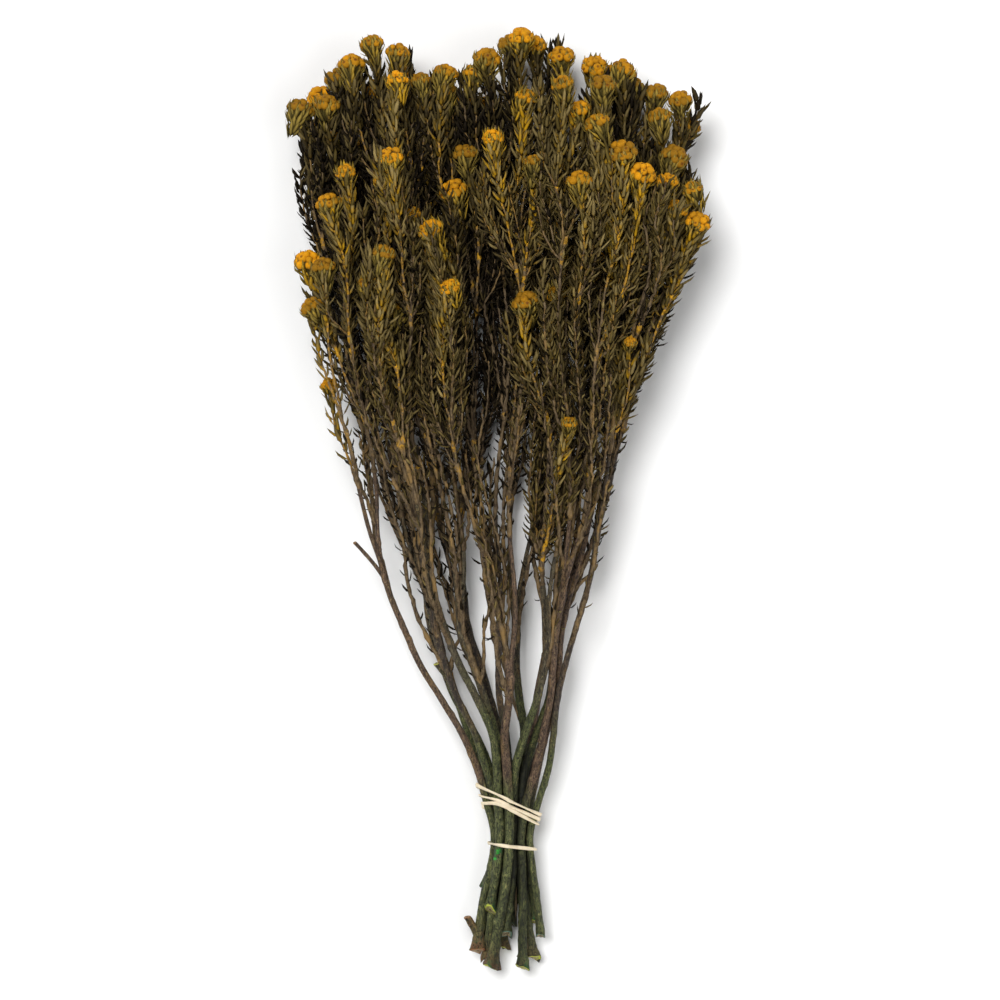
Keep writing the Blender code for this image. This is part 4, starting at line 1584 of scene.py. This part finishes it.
@dataclass(frozen=True)
class NeedleLeaves:
    """Needle leaves of this plant: sizes in millimetres, angles in degrees."""

    old_length: float = 7.6
    fresh_length: float = 11.4
    width: float = 1.20  # from the middle to an edge
    thick: float = 0.68
    rings: Row = (0.26, 0.68)
    widths: Row = (1.0, 0.82)
    old_angle: float = 55.0
    fresh_angle: float = 33.0
    angle_spread: float = 11.0
    loose_share: float = 0.08
    loose_angles: Point = (70.0, 130.0)
    lengths: Point = (0.70, 1.12)  # shares of the length, from leaf to leaf
    curl: float = 0.36
    sizes: Point = (0.75, 1.2)
    old_gold: float = 0.12
    golds: Point = (0.1, 1.15)
    shade: float = 0.9  # how much painted shade darkens the leaves deep in the bunch

    def along(self, twig: Twig, vigour_and_shade: float, rng: Random) -> Lofts:
        """Set leaves along a twig in a golden-angle spiral.

        A leaf's spine is its foot plus length x (t x start direction + t squared x
        curl towards the twig), so that it opens out and then bends back.

        Args:
            twig: The twig.
            vigour_and_shade: 1 for a bright spray, 0 for a dull one.
            rng: Source of the draws.

        Returns:
            The leaves.
        """
        steps = steps_along(twig.points)
        s = running(steps)
        total = running((twig.density[1:] + twig.density[:-1]) / 2 * steps)
        count = max(int(total[-1]), 1)
        place = np.interp(np.arange(count) + rng.uniform(0.1, 0.9, count), total, s)
        foot = sample(place, s, twig.points)
        ahead, side, up = (unit(sample(place, s, axis)) for axis in frames_along(twig.points))
        fresh = np.interp(place, s, twig.fresh)
        turn = GOLDEN_ANGLE * np.arange(count) + rng.normal(0.0, 0.25, count)
        out = np.cos(turn)[:, None] * side + np.sin(turn)[:, None] * up
        opening = self.old_angle + (self.fresh_angle - self.old_angle) * fresh
        opening = opening + rng.normal(0.0, self.angle_spread, count)
        loose = rng.uniform(size=count) < self.loose_share * (1.0 - fresh)
        opening = np.where(loose, rng.uniform(*self.loose_angles, count), opening)
        angle = np.radians(np.clip(opening, 12.0, self.loose_angles[1]))
        start = np.cos(angle)[:, None] * ahead + np.sin(angle)[:, None] * out
        length = self.old_length + (self.fresh_length - self.old_length) * fresh
        length = length * rng.uniform(*self.lengths, count)
        t = np.array([0.0, *self.rings, 1.0])
        bend = self.curl * (ahead - start) + 0.08 * rng.normal(size=(count, 3))
        reach = t[:, None] * start[:, None] + (t * t)[:, None] * bend[:, None]
        spines = foot[:, None] + 0.4 * out[:, None] + length[:, None, None] * reach
        across = np.cross(ahead, out) + 0.32 * rng.normal(size=(count, 3))
        size = rng.uniform(*self.sizes, count)[:, None] * (0.62 + 0.50 * fresh)[:, None]
        widths = self.width * np.array(self.widths) * size
        thick = self.thick * np.array(self.widths) * size
        leaves = blades(spines, unit(across), widths, thick)
        leaves.notes["tone"] = rng.uniform(size=count)
        leaves.notes["gold"] = (vigour_and_shade * (self.old_gold + (1.0 - self.old_gold) * fresh)
                                * rng.uniform(*self.golds, count))
        worn = (1.0 - fresh) * rng.uniform(0.0, 0.8, count) + 0.4 * loose
        worn = worn + (1.0 - vigour_and_shade) * rng.uniform(0.0, 0.85, count)
        # painted shade: leaves lower under the bunch's top are darkened
        lid = room_at(foot[:, 1])[2]
        worn = worn + self.shade * np.clip(1.15 - 1.35 * foot[:, 2] / lid, 0.0, 1.0)
        leaves.notes["age"] = np.clip(worn, 0.0, 1.0)
        return leaves


LEAVES = NeedleLeaves()


@dataclass(frozen=True)
class SideTwigs:
    """Short twigs that leave a shoot on any side and turn to run beside it.

    A twig's points are its parent's, moved out by spread x (1 - (1 - t) cubed).
    """

    spread: Point  # millimetres
    length: Point
    radii: Point  # at the foot and at the tip
    density: Point  # of leaves, at the foot and at the tip
    turns: Point = (0.0, TURN)  # side on which they leave, from x towards z
    point_gap: float = 3.0
    lowest: float = 2.2
    highest: float = 80.0
    kink: float = 0.30

    def grow(self, layout: Layout, index: int, start: float, fresh: Point,
             rng: Random) -> Twig:
        """Grow one twig.

        Args:
            layout: The laid-out bunch.
            index: The parent's place in the layout.
            start: Height at which the twig leaves it.
            fresh: Freshness at its foot and at its tip.
            rng: Source of the draws.

        Returns:
            The twig.
        """
        length = rng.uniform(*self.length)
        top = layout.shoots[index].head[1] - 3.0
        steps = max(int(length / self.point_gap), 8)
        t = np.linspace(0.0, 1.0, steps)
        y = start + t * min(length, top - start)
        turn = rng.uniform(*self.turns)
        away = rng.uniform(*self.spread) * (1.0 - (1.0 - t) ** 3)
        sway = rng.normal(0.0, 1.0, 2)
        out = np.stack([math.cos(turn) * away + sway[0] * t * t,
                        0.0 * t, math.sin(turn) * away + sway[1] * t * t], axis=-1)
        points = layout.course(index, y) + out
        left, right, lid = room_at(y)
        points[:, 0] = np.clip(points[:, 0], left + 3.0, right - 3.0)
        points[:, 2] = np.clip(points[:, 2], self.lowest, np.minimum(lid, self.highest))
        points[0] = layout.course(index, y[:1])[0]
        kinks = rng.normal(0.0, self.kink, points.shape) * (t > 0.0)[:, None]
        ends = (0.0, 1.0)
        density = np.interp(fade(t, 0.0, 0.5), ends, self.density)
        return Twig(points + kinks, np.interp(t, ends, self.radii),
                    np.interp(t, ends, fresh), density, np.zeros(steps))


SWITCHES = SideTwigs((9.0, 24.0), (80.0, 140.0), (1.25, 0.6), (0.02, 0.22))
LIMBS = SideTwigs((5.0, 15.0), (90.0, 165.0), (1.45, 0.6), (0.0, 0.35))
WOODY_TWIGS = SideTwigs((4.0, 15.0), (45.0, 115.0), (1.0, 0.42), (0.0, 0.4))
LEAFY_LIMBS = SideTwigs((6.0, 17.0), (80.0, 140.0), (0.85, 0.4), (0.3, 0.8))
LEAFY_TWIGS = SideTwigs((5.0, 14.0), (28.0, 65.0), (0.6, 0.35), (0.45, 0.9),
                        (0.9 * math.pi, 2.1 * math.pi))


# Radius and height of a floret and of the receptacle under the florets, in millimetres
FLORET = ((0.0, -2.3), (1.55, -1.7), (2.20, -0.55), (2.15, 0.45), (1.50, 1.40),
          (0.42, 1.72), (0.0, 1.48))
BED = ((0.0, -8.0), (1.0, -7.4), (4.0, -3.0), (4.9, 0.5), (4.0, 3.0), (1.8, 4.6), (0.0, 5.0))


@dataclass
class FlowerHead:
    """A dome of button florets in a cup of narrow bracts, in millimetres."""

    point: Array
    axis: Array
    gold: float  # how fresh its yellow is
    shut: float  # 0 for an open head to 1 for one still in its bracts
    size: float
    rng: Random
    dome_radius: float = 5.7
    dome_drop: float = 4.0

    def __post_init__(self) -> None:
        """Find two directions square to the axis, and the dome's size and middle."""
        self.side = unit(np.cross((0.3, 0.1, 1.0), self.axis))
        self.up = np.cross(self.axis, self.side)
        self.dome_size = self.size * (1.0 - 0.22 * self.shut)
        self.centre = self.point - self.dome_size * (self.dome_drop + 1.2 * self.shut) * self.axis

    def florets(self) -> Lofts:
        """Button florets in rows from the crown down, each facing out of the dome.

        Returns:
            The florets.
        """
        rows = ((self.rng.uniform(2.0, 10.0), 1), (38.0, 5), (70.0, 9))
        polar, turn = [], []
        for angle, count in rows:
            start = self.rng.uniform(0, TURN)
            spots = start + TURN * np.arange(count) / count
            turn.append(spots + self.rng.normal(0.0, 0.10, count))
            polar.append(np.radians(angle + self.rng.normal(0.0, 4.5, count)))
        polar, turn = np.concatenate(polar), np.concatenate(turn)
        out = (np.cos(polar)[:, None] * self.axis
               + (np.sin(polar) * np.cos(turn))[:, None] * self.side
               + (np.sin(polar) * np.sin(turn))[:, None] * self.up)
        reach = self.dome_radius * self.dome_size * self.rng.uniform(0.94, 1.08, len(polar))
        scale = self.dome_size * self.rng.uniform(0.88, 1.12, len(polar))
        facing = unit(out + 0.10 * self.axis)
        buttons = turned(self.centre + reach[:, None] * out, facing, np.array(FLORET), 8, scale)
        buttons.rings += 0.06 * self.rng.normal(size=buttons.rings.shape)
        buttons.notes["tone"] = self.rng.uniform(size=len(polar))
        buttons.notes["gold"] = np.full(len(polar), self.gold)
        crown = np.array([0.0, 0.42, 0.85, 1.0, 1.0])
        dimple = np.array([0.0, 0.0, 0.0, 0.0, 1.0]) * self.rng.uniform(0.2, 1.0, (len(polar), 1))
        buttons.notes["crown"] = np.broadcast_to(crown, (len(polar), len(crown)))
        buttons.notes["dimple"] = dimple
        return buttons

    def bed(self) -> Lofts:
        """Receptacle that the florets sit on."""
        return turned(self.centre[None], self.axis[None], np.array(BED), 10,
                      np.array([self.dome_size]))

    def bracts(self) -> Lofts:
        """Cup of narrow bracts in whorls round the foot of the head.

        Each follows a curve of three points: a foot on the twig, a shoulder out from the
        axis, and a tip beside the florets.

        Returns:
            The bracts.
        """
        top, waist = 2.0 * self.shut, 1.0 - 0.26 * self.shut
        # Count, height of the foot, reach of the shoulder and of the tip, height of the tip
        whorls = ((12, -7.0, 7.4 * waist, 6.3 * waist, 1.0 + top),
                  (12, -8.2, 8.0 * waist, 7.2 * waist, -0.6 + top),
                  (11, -10.0, 7.4 * waist, 7.4 * waist, -2.6 + top),
                  (9, -13.0, 4.6, 6.8, -5.4), (7, -16.5, 3.2, 5.6, -8.6))
        turn, rows = [], []
        for count, *row in whorls:
            start = self.rng.uniform(0, TURN)
            turn.append(start + TURN * np.arange(count) / count
                        + self.rng.normal(0.0, 0.16, count))
            rows.append(np.tile(row, (count, 1)))
        turn, rows = np.concatenate(turn), np.concatenate(rows)
        count = len(turn)
        rows = self.size * (rows + self.rng.normal(0.0, (0.9, 0.45, 0.6, 0.7), rows.shape))
        out = np.cos(turn)[:, None] * self.side + np.sin(turn)[:, None] * self.up
        foot = self.point + rows[:, :1] * self.axis + 0.7 * out
        shoulder = (self.point + (0.6 * rows[:, :1] + 0.4 * rows[:, 3:]) * self.axis
                    + rows[:, 1:2] * out)
        tip = self.point + rows[:, 3:] * self.axis + rows[:, 2:3] * out
        t = np.array([0.0, 0.28, 0.68, 1.0])[None, :, None]
        spines = ((1 - t) ** 2 * foot[:, None] + 2 * t * (1 - t) * shoulder[:, None]
                  + t * t * tip[:, None])
        widths = self.size * np.array([0.98, 0.95]) * self.rng.uniform(0.85, 1.25, count)[:, None]
        thick = np.broadcast_to(np.array([0.22, 0.18]), widths.shape)
        across = np.cross(self.axis, out) + 0.25 * self.rng.normal(size=(count, 3))
        cup = blades(spines, unit(across), widths, thick)
        cup.notes["tone"] = self.rng.uniform(size=count)
        cup.notes["gold"] = np.clip(self.gold * self.rng.uniform(0.3, 1.2, count), 0.0, 1.0)
        return cup


@dataclass
class Spray:
    """The leafy shoots of one prong with their flower heads."""

    number: int
    letter: int
    layout: Layout
    foliage: dict[str, Material]
    flowers: dict[str, Material]
    bury: float = 4.0  # how far below its start a side shoot's twig begins
    twig_base: float = 1.3
    side_base: float = 0.75
    twig_tip: float = 0.48
    knob: float = 1.0  # share by which a knot swells a twig
    neck: float = 10.0
    fresh_reach: float = 105.0
    limb_share: float = 0.5  # of the shoots that have a limb
    limb_range: Point = (-38.0, 12.0)  # heights at which it leaves, from the fork
    switch_share: float = 0.36  # of the shoots have a switch from their bare stem
    switch_drop: Point = (10.0, 62.0)  # how far below the fork it leaves, in millimetres
    switch_low: float = -138.0
    woody_twigs: int = 2
    leafy_limbs: tuple[int, int] = (1, 3)  # beside an outer and a middle shoot
    middle: float = 25.0  # how far from the middle a stem's fork may be to count as one
    leafy_twigs: int = 4
    bare_spray: tuple[int, int] = (0, 0)
    vigour_and_shade: Points = ((0.1, 0.45), (0.3, 0.75), (0.55, 1.0))  # by layer; lower layers are duller, partly the sprays' own dullness and partly painted shade
    lifts: Triple = (0.0, 0.12, 0.28)  # how much the heads of a layer look up
    late: Point = (86.0, 98.0)  # heights below which heads are small and dull
    rng: Random = field(init=False)

    def __post_init__(self) -> None:
        """Seed this spray's own draws."""
        self.rng = np.random.default_rng(9000 + 10 * self.number + self.letter)

    @property
    def name(self) -> str:
        """Name of the CAD node that the spray stands for."""
        return f"spray_{self.number + 1:02d}{'ab'[self.letter]}"

    def _fresh(self, shoot: Shoot, y: Array) -> Array:
        """Freshness of a shoot: 0 far below its flower head, 1 beside it."""
        return fade(y, shoot.head[1] - self.fresh_reach, shoot.head[1] - 8.0)

    def _shoot(self, index: int, knots: list[float]) -> Twig:
        """Main twig of a shoot, from inside its parent up to its flower head.

        Args:
            index: The shoot's place in the layout.
            knots: Heights at which side twigs leave it, where it is swollen.

        Returns:
            The twig.
        """
        shoot = self.layout.shoots[index]
        low = shoot.start - self.bury if shoot.side else shoot.leafy
        high = shoot.head[1] - self.neck
        y = np.linspace(low, high, max(int((high - low) / 3.0), 8))
        t = (y - low) / (high - low)
        base = self.side_base if shoot.side else self.twig_base
        radii = base + (self.twig_tip - base) * t ** 0.7
        fresh = self._fresh(shoot, y)
        density = 0.50 + 0.85 * fade(y, shoot.head[1] - 75.0, shoot.head[1] - 25.0)
        first = max(shoot.leafy, shoot.start)
        if (self.number, self.letter) == self.bare_spray:
            first = max(first, shoot.head[1] - 46.0)
        density = density * (0.3 * fade(y, first, first + 8.0)
                             + 0.7 * fade(y, first + 10.0, first + 80.0))
        points = self.layout.course(index, y)
        points[1:-1] += self.rng.normal(0.0, 0.22, points[1:-1].shape)
        near = np.exp(-((y[:, None] - np.array([*knots, -1e3])[None]) / 2.2) ** 2)
        return Twig(points, radii, fresh, density, self.knob * near.max(axis=1))

    def _side_twigs(self, index: int) -> tuple[list[Twig], list[float]]:
        """Leafy twigs beside a shoot, and woody ones beside the prong below it.

        Several leave from the same knot, as the plant branches in whorls.

        Args:
            index: The shoot's place in the layout.

        Returns:
            The twigs, and the heights of the knots that they leave from.
        """
        shoot = self.layout.shoots[index]
        if (self.number, self.letter) == self.bare_spray:
            return [], []
        twigs, knots = [], []

        def add(kind: SideTwigs, start: float, *fresh: float, rng: Random = self.rng) -> None:
            """Grow one twig."""
            twigs.append(kind.grow(self.layout, index, start, fresh, rng))

        first = max(shoot.leafy, shoot.start)
        whorls = shoot.head[1] - self.rng.uniform((40.0, 85.0), (75.0, 140.0))
        for _ in range(self.leafy_twigs):
            start = max(float(self.rng.choice(whorls)) + self.rng.normal(0.0, 0.8), first + 4.0)
            fresh = float(self._fresh(shoot, np.array(start)))
            add(LEAFY_TWIGS, start, fresh, min(fresh + 0.35, 1.0))
            knots.append(start)
        if not shoot.side:
            low = STEMS[self.number].fork[1] + 3.0
            fork = self.rng.uniform(low + 8.0, shoot.leafy + 60.0)
            for _ in range(self.woody_twigs):
                add(WOODY_TWIGS, fork + self.rng.normal(0.0, 1.0), 0.0, 0.25)
            if self.rng.uniform() < self.limb_share:
                add(LIMBS, low + self.rng.uniform(*self.limb_range), 0.0, 0.3)
            draws = np.random.default_rng(5000 + index)
            if draws.uniform() < self.switch_share:
                start = max(low - draws.uniform(*self.switch_drop), self.switch_low)
                add(SWITCHES, start, 0.0, 0.15, rng=draws)
            inner = abs(STEMS[self.number].fork[0]) < self.middle
            high = shoot.leafy + self.rng.uniform(10.0, 70.0)
            for _ in range(self.leafy_limbs[inner]):
                add(LEAFY_LIMBS, high + self.rng.normal(0.0, 1.0), 0.1, 0.5)
            knots += [fork, high]
        return twigs, knots

    def _head(self, index: int, vigour_and_shade: float) -> FlowerHead:
        """Flower head of a shoot, which looks ahead and a little up.

        Args:
            index: The shoot's place in the layout.
            vigour_and_shade: 1 for a bright spray, 0 for a dull one.

        Returns:
            The head.
        """
        y = self.layout.shoots[index].head[1]
        point, below = self.layout.course(index, np.array([y, y - 9.0]))
        lean = np.array([0.20, 0.0, 0.24]) * self.rng.normal(size=3)
        lean[2] += self.lifts[STEMS[self.number].layer]
        axis = unit(unit(point - below) + lean)
        gold = float(np.clip(0.85 * vigour_and_shade - 0.08 + self.rng.normal(0.0, 0.24), 0.0, 1.0))
        shut = float(np.clip(self.rng.normal(0.15, 0.45), 0.0, 1.0))
        late = 1.0 - float(fade(point[1], *self.late))
        gold *= 1.0 - 0.3 * late
        size = self.rng.uniform(0.90, 1.12) * (1.0 - 0.38 * late)
        return FlowerHead(point, axis, gold, shut, size, self.rng)

    def build(self) -> None:
        """Make the spray's foliage and its flower heads."""
        twigs, leaves, flowers = [], [], []
        vigour_and_shade = float(self.rng.uniform(*self.vigour_and_shade[STEMS[self.number].layer]))
        for index in self.layout.spray(self.number, self.letter):
            beside, knots = self._side_twigs(index)
            main = self._shoot(index, knots)
            # painted shade: side twigs are duller and darker than their main shoot
            sides = [(twig, 5, 0.65 * vigour_and_shade) for twig in beside]
            for twig, columns, bright in [(main, 7, vigour_and_shade), *sides]:
                wood = twig.wood(bright, self.rng, columns)
                twigs.append(Part(wood, self.foliage["twig"]))
                needles = LEAVES.along(twig, bright, self.rng)
                leaves.append(Part(needles, self.foliage["leaf"]))
            head = self._head(index, vigour_and_shade)
            flowers += [Part(head.florets(), self.flowers["floret"]),
                        Part(head.bed(), self.flowers["bract"]),
                        Part(head.bracts(), self.flowers["bract"])]
        make_piece(f"{self.name}_foliage", twigs + leaves,
                   ("tone", "gold", "age", "along", "edge"), (self.name,))
        make_piece(f"{self.name}_flower_heads", flowers,
                   ("tone", "gold", "crown", "dimple", "along", "edge"), (self.name,))


@dataclass
class RubberBand:
    """A rubber band that hugs the stems, wound once or more and closed on itself."""

    name: str
    layout: Layout
    y: float
    slope: float
    turns: int
    pitch: float
    fan: float = 0.025  # how much further apart the turns are, per millimetre to the left
    clearance: float = 0.05
    half_width: float = 1.02
    half_thick: float = 0.56
    bows: Row = (0.0,)  # how far each turn arches up across the top
    lean: float = 0.8  # share of a bow that its left half gains and its right half loses
    reach: Point = (-20.0, 14.3)  # left and right ends of the bows, from the tie's centre
    bark_share: float = 0.94  # of a stem's radius, where the strand rests on its bark
    steps: int = 26
    finer: int = 6
    ironing: int = 3
    columns: int = 12
    # Waves of the twist: periods for each turn, more periods, radians and phase
    twists: tuple[Row, ...] = ((2, 0, 0.75, 0.6), (3, 1, 0.65, 2.0))

    def _course(self) -> Array:
        """Middle of the band: against the outermost stem in each direction.

        A wound band climbs by its pitch each turn, and each turn bows up across the top.
        Over its last half turn it comes back down across the others, a strand further out.

        Returns:
            Points of the closed course.
        """
        mains = [i for i, shoot in enumerate(self.layout.shoots) if shoot.parent < 0]
        sizes = np.array([stem.radius for stem in STEMS])
        closing = 0.5 if self.turns > 1 else 0.0
        course = []
        for step in range(self.steps * self.turns):
            angle = TURN * step / self.steps
            done = step / self.steps
            back = (self.turns - done) * (self.turns - closing) / max(closing, 0.01)
            climb = self.pitch * min(done, back)
            hop = 0.0
            if closing and done > self.turns - closing:
                into = (done - (self.turns - closing)) / closing
                hop = 2 * self.half_thick * min(1.0, 4 * into, 4 * (1 - into))
            normal = np.array([math.cos(angle), math.sin(angle)])
            bow = self.bows[step // self.steps] if math.sin(angle) > 0.0 else 0.0
            level = self.y + climb
            for _ in range(3):
                spots = np.array([[np.interp(level, self.layout.y, grid[i])
                                   for grid in (self.layout.x, self.layout.z)] for i in mains])
                owner = int(np.argmax(spots @ normal + sizes))
                away = self.bark_share * sizes[owner] + self.clearance + self.half_thick + hop
                x, z = spots[owner] + away * normal
                right = x - RULES.tie_centre[0]
                place = float(np.interp(right, self.reach, (-1.0, 1.0)))
                arch = bow * (1.0 - place ** 2) * (1.0 - self.lean * place)
                level = self.y + climb * (1.0 - self.fan * right) + self.slope * right + arch
            course.append((x + RULES.shift[0], level + RULES.shift[1], z))
        return np.array(course)

    def _smooth(self, course: Array) -> Array:
        """Round the closed course with a cubic through its points.

        Points are then spread evenly along it and drawn towards their neighbours' mean.

        Args:
            course: Its points.

        Returns:
            Several times as many points.
        """
        a, b, c, d = (np.roll(course, -k, axis=0)[:, None] for k in (-1, 0, 1, 2))
        t = (np.arange(self.finer) / self.finer)[None, :, None]
        smooth = 0.5 * (2 * b + (c - a) * t + (2 * a - 5 * b + 4 * c - d) * t ** 2
                        + (3 * b - a - 3 * c + d) * t ** 3)
        closed = np.concatenate([smooth.reshape(-1, 3), smooth[0, :1]])
        reached = running(steps_along(closed))
        places = np.linspace(0.0, reached[-1], len(closed) - 1, endpoint=False)
        even = sample(places, reached, closed)
        for _ in range(self.ironing):
            even = 0.5 * even + 0.25 * (np.roll(even, 1, axis=0) + np.roll(even, -1, axis=0))
        return even

    def build(self, material: Material) -> None:
        """Sweep a flat oval along the closed course, twisting to and fro in whole waves.

        Args:
            material: The rubber.
        """
        course = self._smooth(self._course())
        count = len(course)
        ahead = unit(np.roll(course, -1, axis=0) - np.roll(course, 1, axis=0))
        side = unit(np.cross((0.0, 1.0, 0.0), ahead))
        up = np.cross(ahead, side)
        round_trip = TURN * np.arange(count) / count
        twist = sum(size * np.sin((each * self.turns + more) * round_trip + phase)
                    for each, more, size, phase in self.twists)[:, None]
        thick = self.half_thick * (np.cos(twist) * side + np.sin(twist) * up)
        wide = self.half_width * (np.cos(twist) * up - np.sin(twist) * side)
        rings = course[:, None] + circles(thick, wide, self.columns)[1]
        here = np.arange(count * self.columns).reshape(count, self.columns)
        after = np.roll(here, -1, axis=1)
        above, beyond = np.roll(here, -1, axis=0), np.roll(after, -1, axis=0)
        quads = np.stack([here, after, beyond, above], axis=-1)
        mesh = write_piece(f"{self.name}_strand", rings.reshape(-1, 3), quads.reshape(-1, 4),
                           np.zeros((0, 3), int), (self.name,))
        mesh.materials.append(material)


@dataclass(frozen=True)
class BackdropFinish:
    """Pale backdrop that glows as evenly as the lit floor."""

    sheet: Colour = (0.9, 0.9, 0.9)
    glow: float = 1.0

    def build(self, name: str) -> Material:
        """Make the material.

        Args:
            name: Its name.

        Returns:
            The material.
        """
        return Graph(name).finish(self.sheet, 0.9, Specular_IOR_Level=0.0,
                                  Emission_Color=(1.0, 1.0, 1.0), Emission_Strength=self.glow)


@dataclass(frozen=True)
class Lamp:
    """A broad even light on the bunch and the whole floor."""

    name: str
    place: Triple  # a point that the light comes from, in metres
    width: float  # angle that it fills, in radians
    strength: float  # watts per square metre

    def build(self, target: Triple) -> None:
        """Hang the lamp.

        Args:
            target: The point that it shines on.
        """
        data = bpy.data.lights.new(self.name, "SUN")
        data.angle = self.width
        data.energy = self.strength
        lamp = add_object(self.name, data)
        lamp.location = self.place
        ahead = Vector(target) - Vector(self.place)
        lamp.rotation_euler = ahead.to_track_quat("-Z", "Y").to_euler()


@dataclass
class Studio:
    """Pale floor with a low backdrop round it, soft light, and the camera above the bunch."""

    frame_height: float = 0.530  # metres across the picture at the height below
    middle: float = 0.032
    lens: float = 220.0
    sensor: float = 36.0
    floor_size: float = 24.0
    backdrop_radius: float = 11.5
    backdrop_height: float = 1.2
    backdrop_sides: int = 96
    target: Triple = (0.0, 0.0, 0.03)
    room_light: float = 0.10
    lamps: tuple[Lamp, ...] = (Lamp("key_light", (-0.4, 0.5, 1.9), 0.45, 2.9),
                               Lamp("fill_light", (0.8, -0.5, 1.7), 0.70, 0.95))

    def _staged(self, name: str, corners: Array, faces: Array, material: Material) -> None:
        """Add a piece of the studio.

        Args:
            name: Its name.
            corners: Its corners in metres.
            faces: Corner numbers of its quads.
            material: Its material.
        """
        mesh = bpy.data.meshes.new(name)
        mesh.from_pydata(corners.tolist(), [], faces.tolist())
        mesh.materials.append(material)
        add_object(name, mesh)

    def _floor(self) -> None:
        """Lay the floor."""
        half = self.floor_size / 2
        corners = half * np.array([(-1, -1, 0), (1, -1, 0), (1, 1, 0), (-1, 1, 0)])
        self._staged("floor", corners, np.array([(0, 1, 2, 3)]), PaperFinish().build("paper"))

    def _backdrop(self) -> None:
        """Stand a low round wall far from the bunch: two circles joined by quads."""
        turn = TURN * np.arange(self.backdrop_sides) / self.backdrop_sides
        circle = self.backdrop_radius * np.stack([np.cos(turn), np.sin(turn)], axis=-1)
        corners = np.concatenate([np.column_stack([circle, np.full(len(turn), height)])
                                  for height in (0.0, self.backdrop_height)])
        low, high = np.arange(2 * len(turn)).reshape(2, -1)
        quads = np.stack([low, high, np.roll(high, -1), np.roll(low, -1)], axis=-1)
        self._staged("backdrop", corners, quads, BackdropFinish().build("backdrop"))

    def _world(self) -> None:
        """Fill the room with even light."""
        world = bpy.data.worlds.new("room")
        world.use_nodes = True
        sky = world.node_tree.nodes["Background"]
        sky.inputs["Color"].default_value = (1.0, 1.0, 1.0, 1.0)
        sky.inputs["Strength"].default_value = self.room_light
        bpy.context.scene.world = world

    def _camera(self) -> None:
        """Hang the camera straight above the bunch, with the flower heads at the top."""
        data = bpy.data.cameras.new("camera")
        data.lens = self.lens
        data.sensor_width = self.sensor
        away = self.frame_height * self.lens / self.sensor
        camera = add_object("camera", data)
        camera.location = (RULES.shift[0] * MM, RULES.shift[1] * MM, self.middle + away)
        bpy.context.scene.camera = camera

    def build(self) -> None:
        """Set up the room."""
        self._floor()
        self._backdrop()
        self._world()
        for lamp in self.lamps:
            lamp.build(self.target)
        self._camera()
        bpy.context.scene.view_settings.view_transform = "Standard"


def main() -> None:
    """Build the bunch and its studio."""
    logging.basicConfig(level=logging.INFO, format="%(message)s")
    layout = Layout()
    layout.settle()
    foliage = {"twig": TwigFinish().build("twig"), "leaf": LeafFinish().build("leaf")}
    flowers = {"floret": FloretFinish().build("floret"), "bract": BractFinish().build("bract")}
    for number in range(len(STEMS)):
        StemWood(number, layout).build()
        for letter in range(2):
            Spray(number, letter, layout, foliage, flowers).build()
    rubber = RubberFinish().build("rubber")
    RubberBand("rubber_band_upper", layout, -170.0, -0.204, 3, 4.1,
               bows=(5.0, 2.2, 0.5)).build(rubber)
    RubberBand("rubber_band_lower", layout, -184.1, -0.125, 1, 0.0).build(rubber)
    Studio().build()
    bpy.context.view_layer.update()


if __name__ == "__main__":
    main()
